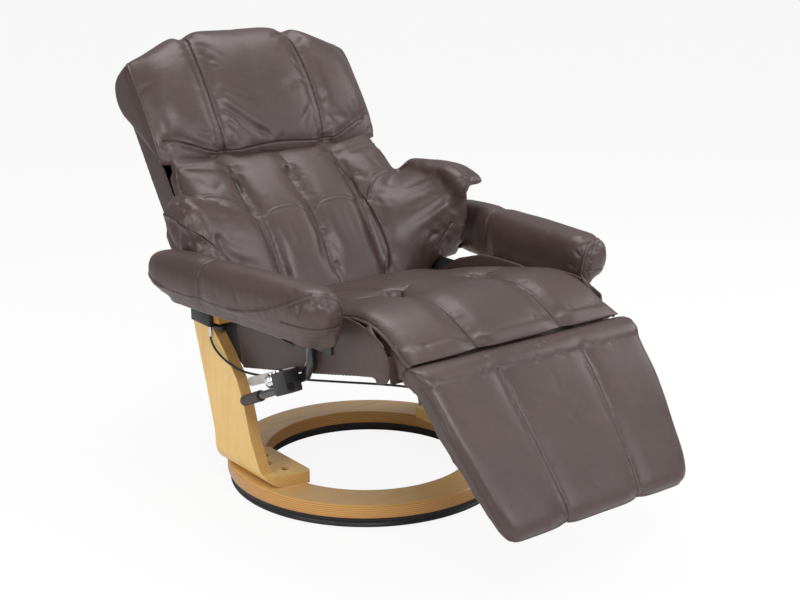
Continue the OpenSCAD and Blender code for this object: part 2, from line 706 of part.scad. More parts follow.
module arm_blocks() {
  y = bracket_shares[2] * leg_back - bracket_w / 2;
  color([0.85, 0.66, 0.38]) ring_frame() difference() {
    both() box([plate_out + bracket_t, y, block_z],
      [leg_out, y + bracket_w, arm_z - arm_board_t - bracket_t]);
    translate([-button_at[0], button_at[1], block_z - cut])
      cylinder(d = button_stem_d + 2 * run_gap, h = button_stem_in + button_travel + 2 * cut);
  }
}

// Hinge pins of the back, fixed in the side plates
module back_pins() {
  color([0.7, 0.7, 0.72]) ring_frame() both() {
    bar_x(pin_r, lug_x - seat_gap, plate_out + pin_head_t, hinge_y, hinge_z);
    bar_x(pin_head_r, plate_out, plate_out + pin_head_t, hinge_y, hinge_z);
  }
}

// Steel frame inside the back: tubes, hinge lugs, cross bars and the crank of the gas spring
module back_frame() {
  lug_top = tube_end + 4 * lug_r;
  color([0.14, 0.14, 0.15]) back_frame_ref() {
    both() {
      translate([frame_tube_x, frame_y, tube_end]) cylinder(r = tube_r, h = frame_top - tube_end);
      difference() {
        union() {
          bar_x(lug_r, lug_x, lug_x + lug_t);
          plate_yz([[0, -lug_r], [frame_y + tube_r, tube_end], [frame_y + tube_r, lug_top],
            [frame_y - tube_r, lug_top], [-lug_r * 0.6, lug_r * 0.8]], lug_x, lug_t);
        }
        bar_x(pin_r + run_gap, lug_x - cut, lug_x + lug_t + cut);
      }
      for (z = [tube_end + tube_r, lug_top - tube_r])
        bar_x(0.7 * tube_r, frame_tube_x, lug_x, frame_y, z);
      plate_yz([[gas_pin_y - lug_r, gas_pin_z], [gas_pin_y, gas_pin_z - lug_r],
        [gas_pin_y + lug_r, gas_pin_z], [frame_y + tube_r, tube_end], [frame_y - tube_r, tube_end]],
        crank_x, crank_t);
    }
    for (z = [tube_end, frame_top / 2, frame_top - 2 * tube_r])
      bar_x(tube_r * 0.9, -frame_tube_x, frame_tube_x, frame_y, z + tube_r);
    bar_x(gas_pin_r, -crank_x - crank_t, crank_x + crank_t, gas_pin_y, gas_pin_z);
  }
}

// Leather covered rear shell, open towards the pad and at its bottom
function shell_outline(inset, low) = let (half = concat([[shell_low_w / 2 - inset, low]],
  [for (s = shell_shares) [s[0] * back_w / 2 - inset, s[1] * back_len - inset]]))
  concat(half, [for (i = [len(half) - 1:-1:0]) [-half[i][0], half[i][1]]]);
module back_shell() {
  color([0.34, 0.28, 0.26]) back_frame_ref() difference() {
    translate([0, shell_y + shell_d, 0]) rotate([90, 0, 0]) linear_extrude(shell_d)
      polygon(shell_outline(0, shell_low));
    translate([0, shell_y + shell_d - shell_wall, 0]) rotate([90, 0, 0]) linear_extrude(shell_d)
      polygon(shell_outline(shell_wall, shell_low - cut));
    both() box([frame_tube_x + tube_r, shell_y - cut, shell_low - cut],
      [plate_in, frame_y + tube_r + notch_gap, tube_end + 4 * lug_r + notch_gap]);
  }
}

// Back pad: a roll around the hinge, a lumbar swell, a middle seam and two outer seams
function pad_outline() = concat(
  [for (a = pad_roll_angles) polar([0, 0], back_roll_r, a)],
  [for (s = pad_rear_shares) [pad_rear_y, s * pad_top]],
  [[pad_rear_y * 0.92, pad_top * 0.945]],
  scaled(pad_front_shares, back_roll_r, pad_top));
function pad_half_w(z) = lerp(back_low_w, back_w, clamp01(z / pad_top / 0.3 - 1)) / 2;
module back_pad() {
  p = pad_outline();
  d = out_dirs(p);
  first_front = len(pad_roll_angles) + len(pad_rear_shares) + 1;
  seam = 1.4 * seam_w;
  color([0.36, 0.30, 0.29]) back_frame_ref() loft([
    for (s = both_sides(pad_width_shares))
      [for (i = [0:len(p) - 1]) let (
        w = pad_half_w(p[i][1]),
        x = s * w,
        front = i >= first_front ? 1 : 0,
        seams = seam_depth * 2 * (bell(x, seam) + bell(abs(s) - pad_seam_share, seam / w)),
        rise = pad_rise * clamp01((abs(s) - pad_seam_share) * 4),
        fade = clamp01(p[i][1] / pad_top / 0.15) * clamp01((0.94 - p[i][1] / pad_top) / 0.06),
        out = front * (fade * (rise - seams) - edge_in(abs(x), w, pad_edge_r)))
        [x, p[i][0] + d[i][0] * out, p[i][1] + d[i][1] * out]]
  ]);
}

// Head cushion: rolled over the top of the back, three panels between two seams
module head_cushion() {
  p = [for (q = scaled(head_shares, head_depth, back_len - head_low)) [q[0], q[1] + head_low]];
  d = out_dirs(p);
  w = head_w / 2;
  color([0.38, 0.32, 0.31]) back_frame_ref() loft([
    for (s = both_sides(head_width_shares))
      [for (i = [0:len(p) - 1]) let (
        seams = seam_depth * 1.4 * bell(abs(s) - head_seam_share, seam_w * 1.2 / w),
        edge = edge_in(abs(s) * w, w, head_edge_r) * (i < head_first_out + 3 ? 0.5 : 1),
        out = i < head_first_out ? 0 : seat_crown * (1 - s * s) - seams - edge)
        [s * w, p[i][0] + d[i][0] * out, p[i][1] + d[i][1] * out]]
  ]);
}

// Elbow wing: a pillow on the back's side that swells out over the arm
module elbow_wing(left) {
  inner = scaled(wing_in_shares, wing_d, wing_h);
  outer = scaled(wing_out_shares, wing_d, wing_h);
  color([0.36, 0.30, 0.29]) back_frame_ref() other_side(left) loft([
    for (s = wing_station_shares) let (
      p = [for (i = [0:len(inner) - 1]) lerp(inner[i], outer[i], s[1])],
      d = out_dirs(p) * s[2] * wing_edge_r)
      [for (i = [0:len(p) - 1]) [back_w / 2 + seat_gap + s[0] * wing_w, p[i][0] - d[i][0], p[i][1] - d[i][1]]]
  ]);
}

// Footrest: hinge leaves under a board, brackets on the seat's front rail, and the pad
module footrest_leaves() {
  color([0.15, 0.15, 0.16]) footrest_frame_ref() both() difference() {
    union() {
      bar_x(knuckle_r, leaf_x, leaf_x + leaf_t);
      plate_yz([[0, -knuckle_r], [0, board_low], [-leaf_len, board_low], [-leaf_len, board_low - leaf_t],
        [-leaf_len / 3, board_low - knuckle_r]], leaf_x, leaf_t);
    }
    bar_x(foot_pin_r + run_gap, leaf_x - cut, leaf_x + leaf_t + cut);
  }
}
module footrest_board() {
  back_w2 = footrest_w / 2 - board_inset;
  end_w2 = footrest_end_w / 2 - board_inset;
  y = -knuckle_r - roll_gap;
  color([0.72, 0.58, 0.38]) footrest_frame_ref() translate([0, 0, board_low]) linear_extrude(board_t)
    polygon([[-back_w2, y], [-end_w2, -board_front], [end_w2, -board_front], [back_w2, y]]);
}
module footrest_brackets() {
  x = leaf_x + leaf_t + hinge_gap;
  low = deck_z - frame_h;
  color([0.15, 0.15, 0.16]) seat_frame_ref() both() difference() {
    union() {
      bar_x(knuckle_r, x, x + leaf_t);
      plate_yz(concat(scaled([[0.2, -0.95], [1.2, -1.4]], knuckle_r, knuckle_r),
        [[rail_y + rail_t, -3.4 * knuckle_r], [rail_y + rail_t, low], [rail_y, low]],
        [[rail_y, -1.6 * knuckle_r], [0.9 * knuckle_r, -0.4 * knuckle_r]]), x, leaf_t);
    }
    bar_x(foot_pin_r + run_gap, x - cut, x + leaf_t + cut);
  }
}
module footrest_pins() {
  color([0.7, 0.7, 0.72]) front_hinge_at() both()
    bar_x(foot_pin_r, leaf_x - leaf_t / 2, leaf_x + 2.5 * leaf_t + hinge_gap);
}
function foot_outline() = concat(
  [for (s = foot_low_shares) [s * footrest_len, board_low + board_t + seat_gap + soft_gap * s * s]],
  [for (a = foot_hub_angles) polar([0, 0], knuckle_r + roll_gap, a)],
  [for (a = foot_roll_angles) polar([0, 0], footrest_roll_r, a)],
  scaled(foot_top_shares, footrest_len, footrest_roll_r));
function foot_half_w(y) = lerp(footrest_w, footrest_end_w, -y / footrest_len) / 2;
module footrest_pad() {
  p = foot_outline();
  d = out_dirs(p);
  first_top = len(foot_low_shares) + len(foot_hub_angles) + len(foot_roll_angles);
  color([0.37, 0.31, 0.30]) footrest_frame_ref() loft([
    for (s = both_sides(width_shares))
      [for (i = [0:len(p) - 1]) let (
        w = foot_half_w(p[i][0]),
        top = i >= first_top ? 1 : 0,
        seams = seam_depth * bell(abs(s) - seam_share, seam_w / w),
        thick = clamp01(p[i][1] / footrest_roll_r),
        out = -top * (thick * edge_in(abs(s) * w, w, foot_edge_r) + seams))
        [s * w, p[i][0] + d[i][0] * out, p[i][1] + d[i][1] * out]]
  ]);
}

// Side lever on the sitter's right: origin on its pivot, x outwards
module lever_ref() {
  ring_frame() mirror([1, 0, 0]) translate([lever_x, lever_y, lever_z]) children();
}
module along_tube(x = 0, up = 0) {
  translate([0, clamp_mid[0], clamp_mid[1]]) rotate([-tube_slope, 0, 0]) translate([x, 0, up]) children();
}
module lever_plate() {
  y = lever_plate_shares[0][0] * leg_back;
  x = lever_x + bar_t / 2 + hinge_gap / 2;
  color([0.12, 0.12, 0.13]) ring_frame() mirror([1, 0, 0]) {
    difference() {
      plate_yz(scaled(lever_plate_shares, leg_back, leg_top_z), panel_out, lever_plate_t);
      for (s = lever_screw_shares)
        bar_x(screw_r, panel_out - cut, panel_out + lever_plate_t + cut, s[0] * leg_back, s[1] * leg_top_z);
    }
    link_yz([y, lever_z], [lever_y, lever_z], bar_w, panel_out, lever_plate_t);
    bar_x(lever_pin_r, panel_out, x + lever_plate_t, lever_y, lever_z);
    bar_x(lever_pin_r * 1.7, x, x + lever_plate_t, lever_y, lever_z);
  }
}
module lever_screws() {
  color([0.05, 0.05, 0.05]) ring_frame() mirror([1, 0, 0]) for (s = lever_screw_shares)
    translate([panel_out, s[0] * leg_back, s[1] * leg_top_z]) rotate([0, 90, 0]) difference() {
      cylinder(r = screw_r - run_gap, h = lever_plate_t + screw_r * 0.4);
      translate([0, 0, lever_plate_t]) cylinder(r = screw_r / 2, h = screw_r, $fn = 6);
    }
}
module lever_bar() {
  x = -bar_t / 2;
  color([0.07, 0.07, 0.075]) lever_ref() difference() {
    union() {
      link_yz([0, 0], [0, -bar_drop], bar_w, x, bar_t);
      link_yz([0, -bar_drop], elbow, bar_w, x, bar_t);
      link_yz(elbow, clamp_mid, bar_w, x, bar_t);
    }
    bar_x(lever_pin_r + run_gap, x - cut, bar_t);
  }
}
module lever_clamp() {
  x = bar_t / 2;
  w = tube_x + 1.5 * lever_tube_d / 2 - x;
  color([0.06, 0.06, 0.065]) lever_ref() difference() {
    union() {
      along_tube(x) rotate([90, 0, 90]) linear_extrude(w)
        polygon(round_rect(clamp_len, clamp_h, clamp_h / 8));
      along_tube(0, paddle_root[1]) bar_x(paddle_pin_r, -2 * hinge_gap - paddle_t, x, paddle_root[0]);
    }
    along_tube(tube_x, -knob_pitch / 2) bar_y(lever_tube_d / 2, -clamp_len, clamp_len);
    along_tube(knob_x, knob_pitch / 2) bar_y(knob_neck_d / 2, 0, clamp_len);
  }
}
module lever_tube() {
  color([0.09, 0.09, 0.095]) lever_ref() along_tube(tube_x, -knob_pitch / 2)
    bar_y(lever_tube_d / 2, -clamp_len / 2, tube_len);
}
module lever_grip() {
  color([0.10, 0.09, 0.09]) lever_ref() along_tube(tube_x, -knob_pitch / 2) difference() {
    union() {
      bar_y(grip_d / 2, tube_len + grip_d / 2 - grip_len, tube_len);
      translate([0, tube_len, 0]) rotate([-90, 0, 0]) rotate_extrude() intersection() {
        circle(d = grip_d);
        square(grip_d);
      }
    }
    bar_y(lever_tube_d / 2, tube_len - grip_len, tube_len);
  }
}
module lever_knob() {
  color([0.82, 0.82, 0.84]) lever_ref() along_tube(knob_x, knob_pitch / 2) {
    bar_y(knob_neck_d / 2 - run_gap, clamp_len / 8, clamp_len / 2 + cut);
    translate([0, clamp_len / 2, 0]) rotate([-90, 0, 0]) rotate_extrude()
      polygon(scaled(knob_shares, knob_d / 2, knob_len));
  }
}
module clamp_paddle() {
  x = -hinge_gap - paddle_t;
  color([0.78, 0.77, 0.74]) lever_ref() along_tube() difference() {
    plate_yz(long_round(paddle_root, paddle_tip, paddle_w), x, paddle_t);
    bar_x(paddle_pin_r + run_gap, x - cut, x + paddle_t + cut, paddle_root[0], paddle_root[1]);
  }
}

// Release cable: housing on the right leg, ferrule, sheath and the head at the gas spring's rod
module cable_housing() {
  color([0.05, 0.05, 0.055]) ring_frame()
    translate([-leg_out - housing[0] / 2, housing_y + housing[1], housing_z + housing[2] / 2])
      rotate([90, 0, 0]) linear_extrude(housing[1])
        polygon(round_rect(housing[0], housing[2], housing[0] / 6));
}
module cable_ferrule() {
  color([0.80, 0.80, 0.80]) ring_frame()
    translate([-leg_out - housing[0] / 2, housing_y + ferrule_in, housing_z - ferrule_h]) difference() {
      cylinder(d = ferrule_d, h = ferrule_h);
      translate([0, 0, -cut]) cylinder(d = cable_d + 2 * run_gap, h = ferrule_h / 2 + cut);
    }
}
module release_cable() {
  n = len(cable_route);
  color([0.03, 0.03, 0.03]) ring_frame() loft([
    for (i = [0:n - 1]) let (
      t = unit(cable_route[min(i + 1, n - 1)] - cable_route[max(i - 1, 0)]),
      u = unit(cross(t, [0.3, 0.2, 1])),
      v = cross(t, u))
      [for (k = [0:cable_sides - 1]) let (a = 360 * k / cable_sides)
        cable_route[i] + cable_d / 2 * (cos(a) * u + sin(a) * v)]
  ]);
}
module release_head() {
  s = release_head_size;
  y = gas_y - gas_bracket_t - s[1];
  end = cable_route[len(cable_route) - 1];
  color([0.22, 0.22, 0.24]) ring_frame() difference() {
    box([-s[0] / 2, y, gas_z - s[2] / 2], [s[0] / 2, y + s[1], gas_z + s[2] / 2]);
    bar_x(cable_d / 2 + run_gap, -s[0] / 2 - cut, -s[0] / 2 + cable_in, end[1], end[2]);
    bar_y(gas_rod_d / 2 + run_gap, y + s[1] / 2, y + s[1] + cut, 0, gas_z);
  }
}
module recline_button() {
  z = block_z - button_travel - button_gap - button_h;
  color([0.04, 0.04, 0.045]) ring_frame() translate([-button_at[0], button_at[1], z]) {
    cylinder(d = button_d, h = button_h);
    cylinder(d = button_stem_d, h = block_z + button_stem_in - z);
  }
}

// Gas spring: the rod and its bracket stay with the seat, the cylinder slides with the back's crank
module gas_bracket() {
  low = deck_z - frame_h;
  y = rail_shares[1] * seat_depth;
  drop = foot_hinge_z - gas_z + gas_eye_r;
  color([0.15, 0.15, 0.16]) difference() {
    seat_frame_ref() {
      box([-gas_bracket_w / 2, y, low - gas_bracket_t], [gas_bracket_w / 2, y + rail_t, low]);
      translate([0, y + gas_bracket_share * rail_t, low - gas_bracket_t / 2]) rotate([seat_tilt, 0, 0])
        box([-gas_bracket_w / 2, -gas_bracket_t, -drop + low / 2], [gas_bracket_w / 2, 0, 0]);
    }
    ring_frame() bar_y(gas_rod_d / 2 + run_gap, gas_y - rail_t, gas_y + rail_t, 0, gas_z);
  }
}
module gas_cylinder() {
  y1 = hinge_y - gas_eye_r - gas_neck;
  y0 = y1 - gas_len;
  color([0.10, 0.10, 0.11]) ring_frame() difference() {
    union() {
      bar_y(gas_d / 2, y0, y1, 0, gas_z);
      box([-gas_eye_t / 2, y1 - cut, gas_z - gas_eye_t / 2], [gas_eye_t / 2, hinge_y, gas_z + gas_eye_t / 2]);
      bar_x(gas_eye_r, -gas_eye_t / 2, gas_eye_t / 2, hinge_y, gas_z);
    }
    bar_y(gas_d / 2 - gas_wall, y0 + gas_cap_t, y1 - gas_wall, 0, gas_z);
    bar_y(gas_rod_d / 2 + run_gap, y0 - cut, y0 + gas_cap_t + cut, 0, gas_z);
    bar_x(gas_eye_bore_r, -gas_eye_t, gas_eye_t, hinge_y, gas_z);
  }
}
module gas_rod() {
  y0 = gas_y - gas_bracket_t - release_head_size[1] / 2;
  y1 = y0 + gas_rod_len;
  color([0.85, 0.85, 0.87]) ring_frame() {
    bar_y(gas_rod_d / 2, y0, y1, 0, gas_z);
    bar_y(gas_d / 2 - gas_wall - run_gap, y1 - gas_piston_t, y1, 0, gas_z);
  }
}

floor_ring();
glide_pads();
lower_race();
ball_cage();
bearing_balls();
upper_race();
wood_ring();
leg(true);  // leg_left
leg(false);  // leg_right
leg_bolts();
seat_frame();
seat_webbing();
seat_cushion();
seat_panel(true);  // seat_panel_left
seat_panel(false);  // seat_panel_right
side_plate(true);  // side_plate_left
side_plate(false);  // side_plate_right
spacer_pucks();
plate_bolts();
arm_board(true);  // arm_board_left
arm_board(false);  // arm_board_right
arm_pad(true);  // arm_pad_left
arm_pad(false);  // arm_pad_right
arm_brackets();
arm_blocks();
back_pins();
back_frame();
back_shell();
back_pad();
head_cushion();
elbow_wing(true);  // wing_left
elbow_wing(false);  // wing_right
footrest_brackets();
footrest_pins();
footrest_leaves();
footrest_board();
footrest_pad();
lever_plate();
lever_screws();
lever_bar();
lever_clamp();
lever_tube();
lever_grip();
lever_knob();
clamp_paddle();
cable_housing();
cable_ferrule();
release_cable();
release_head();
recline_button();
gas_bracket();
gas_cylinder();
gas_rod();
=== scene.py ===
import json
import math

import bmesh
import bpy
import numpy as np
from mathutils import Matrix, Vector
from mathutils.bvhtree import BVHTree


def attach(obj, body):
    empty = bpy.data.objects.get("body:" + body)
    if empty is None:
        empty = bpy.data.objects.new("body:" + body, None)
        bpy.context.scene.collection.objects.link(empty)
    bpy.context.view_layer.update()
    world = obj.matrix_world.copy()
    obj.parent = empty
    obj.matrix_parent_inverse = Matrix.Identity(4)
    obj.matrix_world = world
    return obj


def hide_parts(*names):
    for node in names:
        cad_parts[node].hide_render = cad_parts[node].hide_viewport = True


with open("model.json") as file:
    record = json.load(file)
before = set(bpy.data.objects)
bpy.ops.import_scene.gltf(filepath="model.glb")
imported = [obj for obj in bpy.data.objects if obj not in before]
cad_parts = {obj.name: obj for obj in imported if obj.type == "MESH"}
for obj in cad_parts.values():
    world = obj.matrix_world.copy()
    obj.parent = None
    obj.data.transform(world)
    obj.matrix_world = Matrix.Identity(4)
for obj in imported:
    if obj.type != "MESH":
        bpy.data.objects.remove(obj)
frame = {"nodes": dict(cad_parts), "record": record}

scene = bpy.context.scene
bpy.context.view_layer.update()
MM = 0.001
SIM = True
CLOTH_FRAMES = 20
NORMAL_WINDOW = 15
CAST_UP, CAST_REACH = 0.02, 0.045

# Camera at the photograph's angle

FILM_WIDTH = 36
FOCAL_LENGTH = 64.8
CAM_AT = Vector((-1.8396, -2.4550, 1.3249))
CAM_DIR = Vector((0.5843, 0.7615, -0.2807))
cam_data = bpy.data.cameras.new("photo_camera")
cam_data.sensor_width = FILM_WIDTH
cam_data.lens = FOCAL_LENGTH
camera = bpy.data.objects.new("photo_camera", cam_data)
scene.collection.objects.link(camera)
camera.location = CAM_AT
camera.rotation_mode = "QUATERNION"
camera.rotation_quaternion = CAM_DIR.to_track_quat("-Z", "Y")
scene.camera = camera


# Local frames of the parts, whose x runs to the sitter's left, or outwards on an arm; their sizes are in mm

class Ref:
    def __init__(self, origin, y, z, x=(1, 0, 0)):
        self.origin = np.array(origin, float)
        self.axes = np.array([x, y, z], float)

    def local(self, points):
        return (np.asarray(points, float) - self.origin) @ self.axes.T

    def mm(self, points):
        return self.local(points) / MM

    def turned(self, co, n):
        """Directions n at the points co, along the local axes."""
        return self.local(co + n) - self.local(co)

    def world(self, points):
        return np.asarray(points, float) @ self.axes + self.origin

    def line(self, points):
        """World points, in metres, of local ones in mm."""
        return self.world(np.array(points, float) * MM)

    def across(self, outline, places):
        """An outline in (y, z), set at each of these places along x."""
        return [self.line([(x, y, z) for y, z in outline]) for x in places]


def tilted(origin, angle):
    a = math.radians(angle)
    return Ref(origin, (0, math.cos(a), math.sin(a)), (0, -math.sin(a), math.cos(a)))


SEAT = tilted((0, -0.4674, 0.394), -12.8)
BACK = tilted((0, 0.18408, 0.39981), -36)
FOOT = tilted((0, -0.4674, 0.394), 48.5)
TOE = math.radians(6.5)


def arm_ref(side):
    return Ref((side * 0.394, 0.0646, 0.470), (side * math.sin(TOE), math.cos(TOE), 0), (0, 0, 1),
               (side * math.cos(TOE), -math.sin(TOE), 0))


# Noise made in numpy, the same on each run

def value_noise(p, seed=0):
    base = np.floor(p).astype(np.int64)
    f = p - base
    f = f * f * (3 - 2 * f)
    total = np.zeros(len(p))
    for corner in range(8):
        step = np.array([corner & 1, corner >> 1 & 1, corner >> 2 & 1])
        q = base + step
        h = (q[:, 0] * 374761393 + q[:, 1] * 668265263 + q[:, 2] * 974634777 + seed * 144665) & 0xFFFFFFFF
        h = ((h ^ (h >> 13)) * 1274126177) & 0xFFFFFFFF
        h = (h ^ (h >> 16)) & 0xFFFF
        weight = np.prod(np.where(step == 1, f, 1 - f), axis=1)
        total += weight * (h / 32767.5 - 1)
    return total


def layered(p, octaves=3, seed=0):
    total, size = np.zeros(len(p)), 1.0
    for k in range(octaves):
        total += size * value_noise(p * 2**k, seed + k)
        size *= 0.5
    return total / 1.6


def smooth(t):
    t = np.clip(t, 0, 1)
    return t * t * (3 - 2 * t)


# Mesh helpers

def add_object(name, mesh):
    obj = bpy.data.objects.new(name, mesh)
    scene.collection.objects.link(obj)
    return obj


def bake(obj):
    bpy.context.view_layer.update()
    dg = bpy.context.evaluated_depsgraph_get()
    mesh = bpy.data.meshes.new_from_object(obj.evaluated_get(dg))
    obj.modifiers.clear()
    old = obj.data
    obj.data = mesh
    bpy.data.meshes.remove(old)
    return obj


def points_of(mesh):
    co = np.empty(len(mesh.vertices) * 3, np.float32)
    mesh.vertices.foreach_get("co", co)
    return co.reshape(-1, 3).astype(float)


def set_points(mesh, co):
    mesh.vertices.foreach_set("co", np.ascontiguousarray(co, np.float32).ravel())
    mesh.update()


def normals_of(mesh):
    n = np.empty(len(mesh.vertices) * 3, np.float32)
    mesh.vertex_normals.foreach_get("vector", n)
    return n.reshape(-1, 3).astype(float)


def calm_normals(mesh, times=14):
    """Normals averaged over their neighbourhood, so that both sides of a groove move alike."""
    n = normals_of(mesh)
    ends = np.empty(len(mesh.edges) * 2, np.int32)
    mesh.edges.foreach_get("vertices", ends)
    a, b = ends.reshape(-1, 2).T
    for _ in range(times):
        total = n.copy()
        for k in range(3):
            total[:, k] += np.bincount(a, n[b, k], len(n)) + np.bincount(b, n[a, k], len(n))
        n = total / np.maximum(np.linalg.norm(total, axis=1), 1e-9)[:, None]
    return n


def shade_smooth(obj):
    obj.data.polygons.foreach_set("use_smooth", [True] * len(obj.data.polygons))
    obj.data.update()


def loft_faces(count, rings):
    """Faces of a closed skin over rings of points, with its two ends."""
    faces = []
    for k in range(rings - 1):
        a, b = k * count, (k + 1) * count
        faces += [(a + i, a + (i + 1) % count, b + (i + 1) % count, b + i) for i in range(count)]
    return faces + [tuple(range(count))[::-1], tuple((rings - 1) * count + i for i in range(count))]


def joined_copy(name, nodes, filler=()):
    bm = bmesh.new()
    for n in nodes:
        bm.from_mesh(frame["nodes"][n].data)
    for rings in filler:
        loose = bpy.data.meshes.new("filler")
        loose.from_pydata(np.concatenate(rings).tolist(), [], loft_faces(len(rings[0]), len(rings)))
        bm.from_mesh(loose)
        bpy.data.meshes.remove(loose)
    mesh = bpy.data.meshes.new(name)
    bm.to_mesh(mesh)
    bm.free()
    return add_object(name, mesh)


def remeshed(obj, voxel):
    m = obj.modifiers.new("Remesh", "REMESH")
    m.mode = "VOXEL"
    m.voxel_size = voxel
    return bake(obj)


def relaxed(obj, times):
    m = obj.modifiers.new("Smooth", "SMOOTH")
    m.iterations = times
    m.factor = 0.5
    return bake(obj)


def dense(points, step=0.004):
    points = np.asarray(points, float)
    out = []
    for a, b in zip(points[:-1], points[1:]):
        n = max(1, int(np.linalg.norm(b - a) / step))
        out += [a + (b - a) * k / n for k in range(n)]
    out.append(points[-1])
    return np.array(out)


def rounded(points, times=2):
    points = np.asarray(points, float)
    for _ in range(times):
        q = points[:-1] * 0.75 + points[1:] * 0.25
        r = points[:-1] * 0.25 + points[1:] * 0.75
        points = np.vstack([points[:1], np.stack([q, r], 1).reshape(-1, points.shape[1]), points[-1:]])
    return points


trees = {}


def tree_of(obj):
    """Search tree of a mesh, built once for each number of vertices that it has had."""
    key = (obj.name, len(obj.data.vertices))
    if key not in trees:
        trees[key] = BVHTree.FromObject(obj, bpy.context.evaluated_depsgraph_get())
    return trees[key]


def on_surface(obj, line, step=0.004):
    """The line on the surface, cast along averaged normals, so that it stays straight in a groove."""
    tree = tree_of(obj)
    line = dense(line, step)
    found = [tree.find_nearest(Vector(p)) for p in line]
    normals = np.array([list(f[1]) for f in found])
    window = min(NORMAL_WINDOW, 2 * (len(line) // 2) - 1)
    if window > 2:
        padded_normals = np.pad(normals, ((window // 2, window // 2), (0, 0)), "edge")
        normals = np.array([padded_normals[k:k + window].mean(0) for k in range(len(line))])
    result = []
    for p, n, f in zip(line, normals, found):
        n = Vector(n).normalized()
        hit = tree.ray_cast(Vector(p) + n * CAST_UP, -n, CAST_REACH)
        result.append(list(hit[0] if hit[0] is not None else f[0]))
    return np.array(result)


def distance_to(points, line, reach):
    """Distance of each point to a polyline and how far along it the nearest place lies."""
    best = np.full(len(points), 9.0)
    along = np.zeros(len(points))
    near = np.all((points > line.min(0) - reach) & (points < line.max(0) + reach), axis=1)
    p = points[near]
    d, s, run = np.full(len(p), 9.0), np.zeros(len(p)), 0.0
    for a, b in zip(line[:-1], line[1:]):
        ab = b - a
        length = float(np.linalg.norm(ab))
        if length < 1e-9:
            continue
        t = np.clip((p - a) @ ab / length**2, 0, 1)
        e = np.linalg.norm(p - a - t[:, None] * ab, axis=1)
        closer = e < d
        d[closer] = e[closer]
        s[closer] = run + t[closer] * length
        run += length
    best[near] = d
    along[near] = s
    return best, along, run


class Seam:
    """A sewn line on a soft piece: groove, the hollow around it and puckers across it."""

    def __init__(self, line, depth, width, draw, spread=15.0, pucker=0.0, reach=30.0, ends=0.0, pin=True, seed=0):
        self.line, self.depth, self.width, self.draw, self.spread = line, depth, width, draw, spread
        self.pucker, self.reach, self.ends, self.pin, self.seed = pucker, reach, ends, pin, seed
        self.height = 0

    def far(self):
        """How far from the line it still moves the surface, in metres."""
        hollow = 2.5 * self.spread * (self.draw > 0)
        puckers = 3.5 * self.reach * (self.pucker > 0)
        return max(3 * self.width, hollow, puckers) * MM


class Welt(Seam):
    """A piped edge: a round ridge with a sewn groove beside it."""

    def __init__(self, line, height=2.6, pucker=0.9, seed=0, pin=True):
        super().__init__(line, 0, 2.2, 0, 15, pucker, 16, seed=seed, pin=pin)
        self.height = height

    def far(self):
        return 0.03


def puffed(obj, held, cap):
    """Inflates the cover between its seams, and keeps each point within cap of where it was."""
    before = points_of(obj.data)
    group = obj.vertex_groups.new(name="held")
    for weight in (0.25, 0.5, 0.75, 1.0):
        index = np.nonzero(np.round(held * 4) / 4 == weight)[0]
        if len(index):
            group.add([int(i) for i in index], weight, "REPLACE")
    m = obj.modifiers.new("Cloth", "CLOTH")
    s = m.settings
    s.quality = 5
    s.mass = 0.25
    s.tension_stiffness = s.compression_stiffness = 12
    s.shear_stiffness = 6
    s.bending_stiffness = 0.6
    s.use_pressure = True
    s.uniform_pressure_force = 4
    s.effector_weights.gravity = 0
    s.vertex_group_mass = "held"
    s.pin_stiffness = 1
    m.collision_settings.use_collision = False
    for f in range(1, CLOTH_FRAMES + 1):
        scene.frame_set(f)
    bake(obj)
    scene.frame_set(1)
    after = points_of(obj.data)
    move = after - before
    length = np.linalg.norm(move, axis=1)
    scale = np.minimum(1, cap / np.maximum(length, 1e-9))
    set_points(obj.data, before + move * scale[:, None])
    obj.vertex_groups.clear()
    return obj


def refined(obj, seams, reach):
    """Finer faces beside the seams, so that their grooves are sharp."""
    co = points_of(obj.data)
    near = np.zeros(len(co), bool)
    for s in seams:
        near |= distance_to(co, s.line, reach)[0] < reach
    bm = bmesh.new()
    bm.from_mesh(obj.data)
    bm.verts.ensure_lookup_table()
    edges = [e for e in bm.edges if near[e.verts[0].index] and near[e.verts[1].index]]
    bmesh.ops.subdivide_edges(bm, edges=edges, cuts=1, use_grid_fill=True)
    bm.to_mesh(obj.data)
    bm.free()
    return obj


